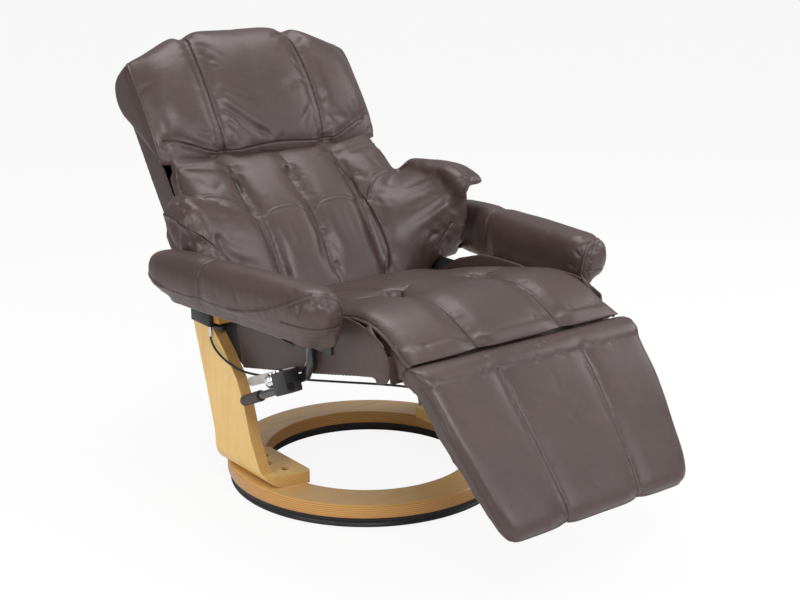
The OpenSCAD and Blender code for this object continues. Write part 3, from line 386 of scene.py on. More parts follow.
def sewn(obj, seams, extra):
    """Moves the surface along its normals: seams, puckers and what extra(points, normals) says, in mm."""
    co, n = points_of(obj.data), calm_normals(obj.data)
    out = np.zeros(len(co))
    shade = np.zeros(len(co))
    for s in seams:
        d, along, total = distance_to(co, s.line, s.far())
        d = d / MM
        fade = np.ones(len(co))
        if s.ends:
            fade = smooth(along / MM / s.ends) * smooth((total - along) / MM / s.ends)
        groove = s.depth * np.exp(-((d / s.width) ** 2)) + s.draw * np.exp(-((d / s.spread) ** 2))
        if s.height:
            rim = 2.6 + s.height
            beside = 0.6 * s.height * np.exp(-(((d - rim) / 1.7) ** 2))
            groove += -s.height * np.exp(-((d / 3.0) ** 2)) + beside
            # Painted shade: darkens the leather in the groove beside the piping's ridge, where shade falls
            shade = np.maximum(shade, 0.30 * s.height * np.exp(-(((d - rim) / 1.5) ** 2)))
        elif s.depth > 1 and s.draw:
            # Painted shade: darkens the leather in the seam's groove, where shade falls
            shade = np.maximum(shade, np.exp(-((d / (s.width * 0.8)) ** 2)) * fade)
        out -= groove * fade
        if s.pucker:
            q = np.stack([along * 62, d * 0.012, np.full(len(co), s.seed * 7.3)], 1)
            ripple = value_noise(q, s.seed) + 0.4 * value_noise(q * [2.3, 1.5, 1], s.seed + 5)
            patches = value_noise(np.stack([along * 14, along * 0, along * 0 + s.seed], 1))
            strength = 0.35 + 0.65 * smooth(patches + 0.6)
            out += s.pucker * ripple * strength * np.exp(-d / s.reach) * (1 - np.exp(-((d / 3) ** 2))) * fade
    out += extra(co, n)
    set_points(obj.data, co + n * (out * MM)[:, None])
    # seam_shade holds this painted shade of the grooves, which the leather's colour is darkened by
    attribute = obj.data.attributes.new("seam_shade", "FLOAT", "POINT")
    attribute.data.foreach_set("value", shade.astype(np.float32))
    return obj


def creases(p, seed, width):
    """Narrow folds where a noise passes zero, from 0 to 1."""
    n = layered(p, 2, seed)
    return np.exp(-((n / width) ** 2))


def soft(name, nodes, seams_of, held_of, extra, voxel=0.0065, relax=10, cap=0.016, shrink=0.003, fine=True,
         filler=(), shaped=None):
    """A padded cover: nodes and filler as one skin, puffed up by the cloth simulation, then sewn."""
    obj = remeshed(joined_copy(name, nodes, filler), voxel)
    if shaped:
        set_points(obj.data, shaped(points_of(obj.data), normals_of(obj.data)))
    relaxed(obj, relax)
    seams = seams_of(obj)
    if SIM:
        co, n = points_of(obj.data), normals_of(obj.data)
        held = held_of(co, n)
        for s in seams:
            if s.pin:
                away = distance_to(co, s.line, 0.03)[0] / (voxel * 0.9)
                held = np.maximum(held, np.exp(-(away**2)) > 0.3)
        set_points(obj.data, co - n * (shrink * (1 - held))[:, None])
        puffed(obj, held, cap)
        relaxed(obj, 2)
    m = obj.modifiers.new("Subdivision", "SUBSURF")
    m.levels = 1
    bake(obj)
    for s in seams:
        s.line = on_surface(obj, s.line)
    if fine:
        refined(obj, [s for s in seams if s.depth > 1], 0.006)
    sewn(obj, seams, extra)
    shade_smooth(obj)
    return obj


# Materials

def fresh_tree(owner):
    """The empty node tree of a material or world."""
    owner.use_nodes = True
    owner.node_tree.nodes.clear()
    return owner.node_tree


class Shader:
    """A material's node tree, with short calls for the nodes that the materials use."""

    def __init__(self, name):
        self.material = bpy.data.materials.new(name)
        self.tree = fresh_tree(self.material)
        self.out = self.node("ShaderNodeOutputMaterial")
        self.main = self.node("ShaderNodeBsdfPrincipled")
        self.link(self.main.outputs[0], self.out.inputs["Surface"])
        self.place = self.node("ShaderNodeTexCoord").outputs["Object"]

    def node(self, kind, **values):
        n = self.tree.nodes.new(kind)
        for key, value in values.items():
            setattr(n, key, value)
        return n

    def link(self, a, b):
        self.tree.links.new(a, b)

    def feed(self, socket, value):
        if hasattr(value, "is_linked"):
            self.link(value, socket)
        else:
            socket.default_value = value

    def put(self, kind, inputs, **values):
        """A node whose inputs get these values or links."""
        n = self.node(kind, **values)
        for key, value in inputs.items():
            self.feed(n.inputs[key], value)
        return n

    def scaled(self, x, y, z):
        return self.put("ShaderNodeMapping", {"Vector": self.place, "Scale": (x, y, z)}).outputs[0]

    def noise(self, scale, detail=4, rough=0.55, at=None, distortion=0.0):
        return self.put("ShaderNodeTexNoise", {"Vector": at or self.place, "Scale": scale, "Detail": detail,
                                               "Roughness": rough, "Distortion": distortion}).outputs["Fac"]

    def cells(self, scale):
        return self.put("ShaderNodeTexVoronoi", {"Vector": self.place, "Scale": scale},
                        feature="SMOOTH_F1").outputs["Distance"]

    def math(self, op, a, b=0.0):
        return self.put("ShaderNodeMath", {0: a, 1: b}, operation=op).outputs[0]

    def ramp(self, fac, stops):
        n = self.node("ShaderNodeValToRGB")
        self.link(fac, n.inputs[0])
        e = n.color_ramp.elements
        while len(e) < len(stops):
            e.new(0.5)
        for k, (at, colour) in enumerate(stops):
            e[k].position = at
            e[k].color = (*colour, 1) if len(colour) == 3 else colour
        return n.outputs["Color"]

    def levels(self, fac, low, high):
        return self.put("ShaderNodeMapRange", {"Value": fac, "To Min": low, "To Max": high}).outputs[0]

    def mix(self, fac, a, b, blend="MIX"):
        a, b = (c if hasattr(c, "is_linked") else (*c, 1) for c in (a, b))
        return self.put("ShaderNodeMix", {0: fac, 6: a, 7: b}, data_type="RGBA", blend_type=blend).outputs[2]

    def bump(self, height, strength, distance, under=None):
        """A bump of this height map, in metres, over another one."""
        inputs = {"Strength": strength, "Distance": distance, "Height": height}
        if under is not None:
            inputs["Normal"] = under
        return self.put("ShaderNodeBump", inputs).outputs[0]

    def axis(self, source, k):
        return self.put("ShaderNodeSeparateXYZ", {0: source}).outputs[k]

    def normal(self):
        return self.node("ShaderNodeTexCoord").outputs["Normal"]

    def set(self, **values):
        for key, value in values.items():
            self.feed(self.main.inputs[key.replace("_", " ")], value)
        return self.material


def leather(name, low, high, rough=0.43):
    m = Shader(name)
    colour = m.ramp(m.noise(5, 5, 0.6), [(0.3, low), (0.7, high)])
    mottle = m.ramp(m.noise(60, 4, 0.6), [(0.3, (0.86, 0.86, 0.86)), (0.7, (1.1, 1.1, 1.1))])
    colour = m.mix(0.6, colour, mottle, "MULTIPLY")
    pores = m.cells(620)
    colour = m.mix(0.35, colour, m.ramp(pores, [(0.05, (0.6, 0.6, 0.6)), (0.3, (1, 1, 1))]), "MULTIPLY")
    # Painted shade: seam_shade mixes the colour towards near black in the seams' grooves and beside the piping,
    # where shade falls
    seam = m.node("ShaderNodeAttribute", attribute_name="seam_shade").outputs["Fac"]
    colour = m.mix(m.math("MULTIPLY", seam, 0.75), colour, (0.012, 0.007, 0.006))
    grain = m.math("ADD", pores, m.math("MULTIPLY", m.noise(900, 3), 0.35))
    fine = m.bump(grain, 0.30, 0.0007)
    folds = m.bump(m.noise(34, 6, 0.6, distortion=0.4), 0.16, 0.004, fine)
    roughness = m.levels(m.noise(28, 5, 0.6), rough - 0.05, rough + 0.07)
    m.set(Base_Color=colour, Roughness=roughness, Normal=folds, Specular_IOR_Level=0.5, Coat_Weight=0.12,
          Coat_Roughness=0.28)
    return m.material


def wood(name, pale, dark, along=2):
    """Veneer with its grain along one axis: its shader, its colour and its fibres."""
    m = Shader(name)
    stretch = [26, 26, 26]
    stretch[along] = 1.6
    grain = m.noise(2.2, 8, 0.62, m.scaled(*stretch), 0.8)
    fibre = m.noise(9, 6, 0.7, m.scaled(*[k * 3 for k in stretch]))
    colour = m.ramp(grain, [(0.28, dark), (0.5, pale), (0.75, pale)])
    colour = m.mix(0.5, colour, m.ramp(fibre, [(0.3, (0.84, 0.8, 0.74)), (0.6, (1, 1, 1))]), "MULTIPLY")
    cloud = m.ramp(m.noise(5, 3), [(0.3, (0.93, 0.9, 0.86)), (0.7, (1.03, 1.02, 1))])
    colour = m.mix(1.0, colour, cloud, "MULTIPLY")
    return m, colour, fibre


def ply_lines(m, coordinate, thickness):
    turn = m.math("MULTIPLY", coordinate, 2 * math.pi / (2 * thickness))
    wave = m.math("SINE", turn)
    return m.math("ADD", m.math("MULTIPLY", wave, 0.5), 0.5)


def bent_plywood():
    m, colour, fibre = wood("bent_plywood_m", (0.88, 0.58, 0.18), (0.80, 0.50, 0.14))
    edge = m.normal()
    across = m.math("ABSOLUTE", m.axis(edge, 0))
    up = m.math("ABSOLUTE", m.axis(edge, 2))
    x, z = m.axis(m.place, 0), m.axis(m.place, 2)
    on_foot = m.math("LESS_THAN", z, 0.125)
    face = m.math("MAXIMUM", across, m.math("MULTIPLY", up, on_foot))
    is_edge = m.math("LESS_THAN", face, 0.62)
    spot = m.put("ShaderNodeMix", {0: on_foot, 2: x, 3: z}, data_type="FLOAT").outputs[0]
    lines = ply_lines(m, spot, 0.0016)
    ply = m.ramp(lines, [(0.25, (0.50, 0.26, 0.075)), (0.6, (0.66, 0.39, 0.13)), (1.0, (0.70, 0.43, 0.16))])
    colour = m.mix(is_edge, colour, ply)
    rough = m.levels(fibre, 0.30, 0.42)
    m.set(Base_Color=colour, Roughness=rough, Normal=m.bump(fibre, 0.08, 0.0006), Coat_Weight=0.35,
          Coat_Roughness=0.18)
    return m.material


def ring_plywood():
    m, colour, fibre = wood("beech_ring_m", (0.72, 0.46, 0.20), (0.64, 0.38, 0.15), along=0)
    up = m.math("ABSOLUTE", m.axis(m.normal(), 2))
    is_rim = m.math("LESS_THAN", up, 0.72)
    lines = ply_lines(m, m.axis(m.place, 2), 0.0022)
    ply = m.ramp(lines, [(0.2, (0.47, 0.215, 0.05)), (0.55, (0.62, 0.315, 0.08)), (1.0, (0.67, 0.36, 0.10))])
    spots = m.ramp(m.noise(30, 2, at=m.scaled(1, 1, 6)), [(0.66, (1, 1, 1)), (0.74, (0.55, 0.42, 0.3))])
    ply = m.mix(0.6, ply, spots, "MULTIPLY")
    colour = m.mix(is_rim, colour, ply)
    m.set(Base_Color=colour, Roughness=m.levels(fibre, 0.26, 0.38), Normal=m.bump(fibre, 0.06, 0.0005),
          Coat_Weight=0.4, Coat_Roughness=0.14)
    return m.material


def frame_plywood():
    m, colour, fibre = wood("frame_plywood_m", (0.50, 0.33, 0.17), (0.40, 0.25, 0.12), along=1)
    m.set(Base_Color=colour, Roughness=m.levels(fibre, 0.55, 0.7), Normal=m.bump(fibre, 0.12, 0.0006))
    return m.material


def metal(name, colour, rough, scratch=0.06, metallic=1.0, brushed=None):
    m = Shader(name)
    at = m.scaled(*brushed) if brushed else None
    worn = m.noise(40, 6, 0.65, at)
    tone = m.ramp(worn, [(0.3, tuple(c * 0.88 for c in colour)), (0.7, tuple(min(1, c * 1.06) for c in colour))])
    m.set(Base_Color=tone, Metallic=metallic, Roughness=m.levels(worn, rough - scratch, rough + scratch),
          Normal=m.bump(m.noise(700, 3, at=at), 0.04, 0.0003))
    return m.material


def painted(name, colour, rough, grain=700, depth=0.0003, strength=0.15, coat=0.0, specular=0.5):
    m = Shader(name)
    tone = m.noise(24, 5, 0.6)
    shade = m.ramp(tone, [(0.3, tuple(c * 0.82 for c in colour)), (0.75, tuple(min(1, c * 1.18) for c in colour))])
    m.set(Base_Color=shade, Roughness=m.levels(tone, rough - 0.05, rough + 0.07),
          Normal=m.bump(m.cells(grain), strength, depth), Coat_Weight=coat, Coat_Roughness=0.1,
          Specular_IOR_Level=specular)
    return m.material


def woven(name, colour):
    m = Shader(name)
    x = m.math("SINE", m.math("MULTIPLY", m.axis(m.place, 0), 2400.0))
    y = m.math("SINE", m.math("MULTIPLY", m.axis(m.place, 1), 2400.0))
    weave = m.math("MULTIPLY", x, y)
    tone = m.ramp(weave, [(0.2, tuple(c * 0.6 for c in colour)), (0.7, colour)])
    m.set(Base_Color=tone, Roughness=m.levels(m.noise(50), 0.75, 0.9), Normal=m.bump(weave, 0.4, 0.0006))
    return m.material


MATS = {
    "leather_brown": leather("leather_brown_m", (0.053, 0.031, 0.028), (0.072, 0.043, 0.039), 0.41),
    "leather_panel": leather("leather_panel_m", (0.048, 0.029, 0.025), (0.063, 0.038, 0.034), 0.44),
    "bent_plywood": bent_plywood(),
    "beech_ring": ring_plywood(),
    "frame_plywood": frame_plywood(),
    "black_metal": painted("black_metal_m", (0.012, 0.012, 0.013), 0.20, coat=0.6, strength=0.05),
    "dark_steel": painted("dark_steel_m", (0.030, 0.031, 0.034), 0.40, grain=1200, strength=0.12),
    "bright_steel": metal("bright_steel_m", (0.62, 0.62, 0.63), 0.24),
    "bearing_steel": metal("bearing_steel_m", (0.55, 0.55, 0.57), 0.2),
    "turned_aluminium": metal("turned_aluminium_m", (0.80, 0.80, 0.82), 0.16, 0.05, brushed=(1, 1, 1)),
    "cage_plastic": painted("cage_plastic_m", (0.05, 0.05, 0.055), 0.45),
    "rubber_black": painted("rubber_black_m", (0.018, 0.018, 0.018), 0.7, grain=500),
    "black_plastic": painted("black_plastic_m", (0.014, 0.014, 0.015), 0.38, grain=900),
    "matte_black": painted("matte_black_m", (0.022, 0.022, 0.024), 0.5, grain=900),
    "rubber_grip": painted("rubber_grip_m", (0.045, 0.036, 0.032), 0.52, grain=420, depth=0.0006, strength=0.35),
    "grey_plastic": painted("grey_plastic_m", (0.56, 0.55, 0.52), 0.35, grain=1100, strength=0.05),
    "webbing": woven("webbing_m", (0.03, 0.03, 0.033)),
    "piston_black": painted("piston_black_m", (0.015, 0.015, 0.016), 0.22, coat=0.3, strength=0.04),
}


def finish_as(obj, slot_name):
    obj.data.materials.clear()
    obj.data.materials.append(MATS[slot_name])


# Soft pieces

def folds(obj, line, count, seed, lengths=(35, 90), depth=(0.7, 1.8), width=(5, 9), sides=(-1, 1), lean=65):
    """Creases in the leather that run out from a seam."""
    rng = np.random.default_rng(seed)
    tree = tree_of(obj)
    line = dense(line, 0.01)
    made = []
    for _ in range(count):
        k = int(rng.integers(1, len(line) - 1))
        p, t = line[k], line[k + 1] - line[k - 1]
        near = tree.find_nearest(Vector(p))
        n = np.array(near[1])
        t = t / max(np.linalg.norm(t), 1e-9)
        side = np.cross(n, t) * rng.choice(sides)
        a = math.radians(rng.uniform(-lean, lean))
        course = side * math.cos(a) + t * math.sin(a)
        bend = np.cross(n, course) * rng.uniform(-0.25, 0.25)
        length = rng.uniform(*lengths) * MM
        start = rng.uniform(0, 0.012)
        path = [p + course * (start + length * u) + bend * length * u * u for u in np.linspace(0, 1, 6)]
        path = np.array([list(tree.find_nearest(Vector(q))[0]) for q in path])
        made.append(Seam(path, rng.uniform(*depth), rng.uniform(*width), 0, ends=length / MM * 0.45, pin=False))
    return made


def scattered(obj, ref, low, high, count, seed, lengths=(40, 110), depth=(0.3, 0.8), width=(6, 11)):
    """Single creases in a field of the surface, placed between two corners of the local frame."""
    rng = np.random.default_rng(seed)
    tree = tree_of(obj)
    made = []
    free = np.array(high, float) - np.array(low, float) > 1
    axes = [k for k in range(3) if free[k]][:2]
    for _ in range(count):
        p = rng.uniform(low, high) * MM
        a = rng.uniform(0, 2 * math.pi)
        course = np.zeros(3)
        course[axes[0]], course[axes[1]] = math.cos(a), math.sin(a)
        length = rng.uniform(*lengths) * MM
        turn = np.zeros(3)
        turn[axes[0]], turn[axes[1]] = -math.sin(a), math.cos(a)
        bend = rng.uniform(-0.2, 0.2)
        path = [p + course * length * u + turn * bend * length * u * u for u in np.linspace(0, 1, 6)]
        path = np.array([list(tree.find_nearest(Vector(q))[0]) for q in ref.world(path)])
        made.append(Seam(path, rng.uniform(*depth), rng.uniform(*width), 0, ends=length / MM * 0.45, pin=False))
    return made


def valley(ref, points, depth, width, ends=50):
    """One broad fold along a chosen course."""
    return Seam(rounded(ref.line(points), 2), depth, width, 0, ends=ends, pin=False)


# Seat cushion

SEAT_LINE = [(600, 168), (540, 172), (440, 176), (330, 176), (254, 174), (216, 174), (169, 172), (135, 165),
             (102, 151), (80, 137), (58, 119), (40, 104), (24, 89), (8, 75), (-6, 62)]
SEAT_W = 279
SEAT_SEAM_X = 111.6


def seat_seams(obj):
    made = []
    for side in (-1, 1):
        x = SEAT_SEAM_X * side
        front = SEAT.line([(x, y, z) for y, z in SEAT_LINE if y < 260])
        rear = SEAT.line([(x * (1 + 0.05 * k), 254 + 55 * k, 174 - k) for k in range(6)])
        across = SEAT.line([(x, 254, 172), (x + 45 * side, 262, 176), (x + 100 * side, 276, 176)])
        inner = SEAT.line([(x, 254, 172), (x - 30 * side, 258, 175), (x - 60 * side, 266, 175)])
        made.append(Seam(rounded(front, 1), 3.2, 2.2, 6.0, 26, 0.5, 26, seed=side + 3))
        made.append(Seam(rear, 1.6, 3.0, 3.5, 30, 0.3, 22, ends=70, pin=False, seed=side + 5))
        made.append(Seam(across, 2.8, 5.0, 3.0, 20, ends=30, pin=False))
        made.append(Seam(inner, 2.2, 5.0, 2.0, 20, ends=22, pin=False))
        tuft = SEAT.line([(x - 3, 252, 170), (x + 3, 256, 170)])
        made.append(Seam(tuft, 8, 7, 9, 24, 0.8, 20, seed=2))
        edge = SEAT.line([(side * (SEAT_W - 1), y, z - 25) for y, z in SEAT_LINE if y > 5])
        made.append(Welt(edge, 2.8, 0.6, seed=side + 8))
        made += folds(obj, front[3:], 7, 20 + side, (20, 50), (0.4, 0.9))
        made += folds(obj, edge[4:], 9, 30 + side, (20, 46), (0.4, 0.9), (4, 7))
    front_edge = SEAT.line([(x, 8, 76) for x in (-262, -130, 0, 130, 262)])
    made += folds(obj, front_edge, 22, 41, (18, 52), (0.5, 1.3), (4, 7), lean=30)
    return made


def seat_held(co, n):
    p = SEAT.mm(co)
    down = SEAT.turned(co, n)
    held = (p[:, 2] < 88) | (down[:, 2] < -0.5) | (p[:, 1] > 612)
    near_hinge = np.hypot(p[:, 1], p[:, 2]) < 68
    return (held | near_hinge).astype(float)


def seat_extra(co, n):
    p = SEAT.mm(co)
    top = smooth(SEAT.turned(co, n)[:, 2])
    swell = 1.6 * layered(p * [0.006, 0.009, 0.01], 2, 4) * top
    side = smooth((np.abs(p[:, 0]) - 262) / 12)
    return swell + side * 1.4 * layered(p * [0, 0.03, 0.006], 2, 9)


# Back pad with its wings: each wing sweeps out from the outer seam to a tip over the arm

BACK_LINE = [(2, 375), (2, 353), (-2, 343), (-10, 312), (-22, 273), (-35, 234), (-42, 199), (-47, 168), (-48, 133),
             (-46, 97), (-42, 62), (-40, 31), (-40, 8), (-36, -16)]
WING_ROOT = [(-46, 12), (-34, -6), (-12, -4), (-2, 52), (-2, 108), (-2, 158), (-10, 205), (-40, 214), (-50, 196),
             (-54, 150), (-54, 104), (-53, 62), (-50, 32)]
WING_FULL = [(-108, 30), (-62, 16), (-24, 40), (10, 106), (21, 176), (18, 248), (-4, 290), (-52, 289), (-113, 254),
             (-176, 204), (-206, 155), (-192, 108), (-156, 62)]
WING_TOP = [(138, -56, 212), (160, -58, 236), (184, -60, 256), (216, -62, 272), (250, -60, 284), (292, -50, 292)]
WING_TIP = (436, -168, 190)
WING_LOW = [(262, -82, 44), (300, -106, 88), (340, -130, 122), (380, -150, 142), (420, -160, 166)]
WING_LOW_NEAR = [(378, -20, 262), (382, -60, 226), (374, -96, 186), (350, -118, 150), (316, -116, 110),
                 (270, -96, 70)]


def back_width(z):
    return 135 + 12 * min(1, max(0, (z - 117) / 117))


WING_NEAR = [(-84, 16), (-52, 4), (-22, 30), (10, 106), (21, 176), (18, 248), (-4, 290), (-50, 294), (-90, 268),
             (-118, 222), (-124, 160), (-118, 104), (-104, 56)]
WING_NEAR_END = ((352, 0.94), (366, 0.84), (375, 0.66), (380, 0.40))


def wing_rings(side, full, reach, power, end=()):
    """Padding between the back's outer seam and the wing, so that both share one cover."""
    root, full = np.array(WING_ROOT, float), np.array(full, float)
    sections = [(146 + t * (reach - 146), root + (full - root) * t**power) for t in np.linspace(0, 1, 9)]
    middle = np.array((-45, 205))
    sections += [(x, middle + (full - middle) * k) for x, k in end]
    return [BACK.world(np.column_stack([np.full(len(yz), side * x), yz]) * MM) for x, yz in sections]


PAD_NECK = [(38, 330), (38, 425), (28, 425), (24, 402), (17, 386), (2, 358), (-2, 336)]


def pad_neck():
    """The pad's top, which runs on under the head cushion."""
    return BACK.across(PAD_NECK, (-284, 284))


def back_seams(obj):
    middle = BACK.line([(0, y - 6, z) for y, z in BACK_LINE])
    made = [Seam(rounded(middle, 1), 3.4, 2.4, 5.0, 24, 0.5, 24, seed=1)]
    made += folds(obj, middle, 12, 51, (20, 45), (0.5, 1.1))
    for side in (-1, 1):
        outer = BACK.line([(side * back_width(z), y - 6, z) for y, z in BACK_LINE])
        made.append(Seam(rounded(outer, 1), 4.6, 2.8, 9.0, 24, 0.5, 24, seed=side + 4))
        made += folds(obj, outer, 10, 60 + side, (20, 50), (0.5, 1.2))
        cross = BACK.line([(side * x, -50, 217 + a) for x, a in
                                  ((6, -6), (20, 0), (50, 6), (90, 6), (120, 0), (138, -6))])
        made.append(Welt(rounded(cross, 1), 1.4, 0.4, seed=side + 7, pin=False))
        arc = BACK.line([(side * x, y, z) for x, y, z in WING_TOP])
        made.append(Welt(rounded(arc, 2), 1.8, 0.5, seed=side + 9))
        made += folds(obj, arc, 10, 70 + side, (30, 80), (0.8, 1.8), (7, 11), lean=45)
        tip = WING_TIP if side > 0 else (360, -104, 190)
        for k, (y, z) in enumerate(((-64, 206), (-66, 176), (-62, 140), (-58, 104), (-54, 66), (-50, 30))):
            start = (side * (196 + 12 * (k % 2)), y, z)
            mid = (side * 300, 0.75 * tip[1] - 8 * (k % 3), 0.55 * z + 0.45 * tip[2] - 14)
            end = (side * (tip[0] - 18 - 14 * (k % 3)), tip[1], tip[2] - 9 * (k - 2))
            made.append(valley(BACK, [start, mid, end], 3.4 - 0.6 * (k % 2), 10 + 3 * (k % 3), 90))
        lower = BACK.line([(side * x, y, z) for x, y, z in (WING_LOW if side > 0 else WING_LOW_NEAR)])
        made.append(Seam(rounded(lower, 2), 3.0, 2.6, 2.0, 16, 2.4, 30, seed=side + 12))
        made += folds(obj, lower, 22, 80 + side, (30, 85), (1.2, 3.0), (6, 11), lean=60)
        rim = BACK.line([(side * 292, 14, z) for z in (372, 340, 305)])
        made.append(Welt(rim, seed=side + 14))
    return made


def back_held(co, n):
    p = BACK.mm(co)
    return ((p[:, 1] > 26) | (p[:, 2] > 372) | (np.hypot(p[:, 1], p[:, 2]) < 30)).astype(float)


def back_extra(co, n):
    p = BACK.mm(co)
    wing = smooth((np.abs(p[:, 0]) - 230) / 90)
    front = smooth(-BACK.turned(co, n)[:, 1] + 0.4)
    lower = smooth((190 - p[:, 2]) / 90)
    side = p[:, 0] < 0
    lower = np.where(side, smooth((-p[:, 0] - 318) / 45), lower)
    big = 4.0 * layered(p * [0.009, 0.013, 0.014], 2, 3) * wing
    crush = -np.where(side, 7.0, 3.5) * creases(p * [0.015, 0.015, 0.022], 8, 0.24) * wing * lower
    calm = 1.6 * layered(p * [0.009, 0.009, 0.006], 2, 6) * (1 - wing) * front
    return big + crush + calm


# Head cushion

HEAD_LINE = [(28, 0), (0, 0.09), (-12, 0.18), (-20, 0.29), (-24, 0.40), (-25, 0.52), (-24, 0.64), (-21, 0.76),
             (-14, 0.87), (0, 0.95), (20, 0.995), (45, 1.013), (80, 1.01), (113, 0.975), (133, 0.90), (141, 0.78),
             (141, 0.67), (132, 0.63)]
HEAD_W = 311
HEAD_CHEEK = [(30, 400), (128, 585), (128, 640), (104, 690), (40, 690), (0, 660), (-8, 560), (-4, 450)]


def head_point(y, share):
    return y, 378 + share * 346


def head_droop(x):
    return 58 * smooth((abs(x) - 120) / 185)


def head_lift(x):
    """How much higher the lower edge lies: between the seams a little, at the ends a lot."""
    return 5 * np.cos(x / 138 * math.pi) * (np.abs(x) < 207) + 44 * smooth((np.abs(x) - 150) / 150)


def head_cheeks():
    """Padding that closes the cushion's ends beside the back."""
    return [BACK.across(HEAD_CHEEK, (side * 299, side * (HEAD_W - 3))) for side in (-1, 1)]


def head_shaped(co, n):
    """Rounds the ends: the top droops towards them and the front falls back."""
    p = BACK.mm(co)
    x = np.abs(p[:, 0])
    inside = (p[:, 1] > 36) & (p[:, 1] < 121) & (p[:, 2] < 653) & (x < 297)
    high = smooth((p[:, 2] - 520) / 200) * np.where(inside, 0, 1)
    p[:, 2] -= head_droop(x) * high
    near_end = smooth((x - 225) / 90) ** 1.5
    p[:, 1] += np.where(inside, 0, 1) * 30 * near_end * smooth((30 - p[:, 1]) / 50)
    p[:, 1] -= np.where(inside, 0, 1) * 22 * near_end * smooth((p[:, 1] - 110) / 40)
    low = smooth((520 - p[:, 2]) / 130) * smooth((40 - p[:, 1]) / 40)
    p[:, 2] += np.where(inside, 0, 1) * low * (head_lift(p[:, 0]) - 4)
    return BACK.world(p * MM)


def head_seams(obj):
    made = []
    for side in (-1, 1):
        line = []
        for k, (y, share) in enumerate(HEAD_LINE):
            y, z = head_point(y, share)
            lean = 6 * math.sin(math.pi * min(1, max(0, share)))
            line.append((side * (138 + lean), y, z))
        seam = BACK.line(line)
        made.append(Seam(rounded(seam, 1), 4.4, 2.4, 9.0, 24, 0.9, 28, seed=side + 2))
        made += folds(obj, seam[:12], 14, 90 + side, (30, 80), (0.8, 1.8), (6, 10), lean=45)
        end = BACK.line([(side * 304, 26 + 0.3 * y, head_point(0, s)[1] - 46 * smooth((s - 0.4) / 0.6))
                                for y, s in HEAD_LINE[1:12]])
        made.append(Welt(end, 1.2, 1.2, seed=side + 6, pin=False))
        made += folds(obj, end, 10, 96 + side, (25, 60), (0.8, 1.6), (5, 8))
    low = BACK.line([(x, 2, 396 + float(head_lift(x))) for x in range(-292, 293, 12)])
    made.append(Seam(low, 2.4, 2.4, 3.0, 14, 1.2, 26, seed=9))
    made += folds(obj, low, 24, 99, (25, 75), (0.8, 2.0), (6, 10), lean=50)
    made += [valley(BACK, points, depth, width) for points, depth, width in (
        ([(-136, -30, 520), (-96, -36, 470), (-40, -30, 420), (0, -20, 400)], 6.5, 12),
        ([(-134, -30, 480), (-110, -34, 440), (-92, -28, 410)], 5.0, 10),
        ([(-132, -30, 560), (-80, -36, 520), (-20, -36, 490)], 3.6, 14),
        ([(132, -30, 500), (100, -36, 450), (60, -30, 415)], 4.6, 12),
        ([(130, -30, 560), (90, -36, 540), (40, -36, 530)], 3.2, 12),
        ([(-230, -30, 450), (-190, -34, 430), (-150, -28, 414)], 3.0, 11),
        ([(150, -30, 470), (190, -34, 440), (240, -28, 425)], 3.0, 11))]
    return made


def head_held(co, n):
    p = BACK.mm(co)
    inside = (p[:, 1] > 34) & (p[:, 1] < 122) & (p[:, 2] < 655)
    return inside.astype(float)


def head_extra(co, n):
    p = BACK.mm(co)
    return 2.4 * layered(p * [0.011, 0.01, 0.008], 2, 31)


# Footrest pad

FOOT_LINE = [(0, 58), (-39, 58.6), (-74, 59.7), (-113, 59), (-151, 58), (-193, 54.5), (-232, 52), (-264, 50),
             (-290, 46), (-306, 40.6), (-317, 33.6), (-322, 24.4), (-319, 14), (-311, 9.6)]


def foot_half(y):
    return 295 + y / 322 * 50


def foot_shaped(co, n):
    """Evens the sides, narrows the rolled end to the seat's width and rounds the two outer corners."""
    p = FOOT.mm(co)
    widest = foot_half(p[:, 1]) - np.where(p[:, 2] < 5, 15.5, 2.6)
    p[:, 0] = np.sign(p[:, 0]) * np.minimum(np.abs(p[:, 0]), widest)
    p[:, 0] *= 1 - 0.035 * smooth((p[:, 1] + 110) / 110)
    corner = np.clip((np.abs(p[:, 0]) - 206) / 42, 0, 1.2)
    p[:, 1] += 16 * corner ** 3 * smooth((-p[:, 1] - 250) / 60)
    return FOOT.world(p * MM)


def foot_seams(obj):
    made = []
    for side in (-1, 1):
        line = FOOT.line([(side * (111 + y / 322 * 18), y, z) for y, z in FOOT_LINE])
        made.append(Seam(rounded(line, 1), 2.2, 1.8, 1.0, 16, 0.3, 20, seed=side + 2))
        edge = FOOT.line([(side * (foot_half(y) - 1), y, max(12, z - 24)) for y, z in FOOT_LINE[:-2]])
        made.append(Welt(edge, 1.4, 0.2, seed=side + 5))
    end = FOOT.line([(x, -319, 17) for x in range(-236, 237, 30)])
    made.append(Welt(end, 2.0, seed=11))
    top = FOOT.line([(x, 14, 57) for x in range(-270, 271, 60)])
    made += folds(obj, top, 22, 130, (18, 45), (0.5, 1.2), (4, 7), lean=30)
    made += scattered(obj, FOOT, (-190, -260, 60), (200, -90, 60), 14, 12, (40, 110), (0.25, 0.6), (5, 9))
    return made


def foot_held(co, n):
    p = FOOT.mm(co)
    down = FOOT.turned(co, n)[:, 2] < -0.3
    return (down | (p[:, 2] < 10) | ((p[:, 1] > 0) & (np.hypot(p[:, 1], p[:, 2]) < 62))).astype(float)


def foot_extra(co, n):
    p = FOOT.mm(co)
    return 1.4 * layered(p * [0.008, 0.007, 0.01], 2, 41)


# Arms

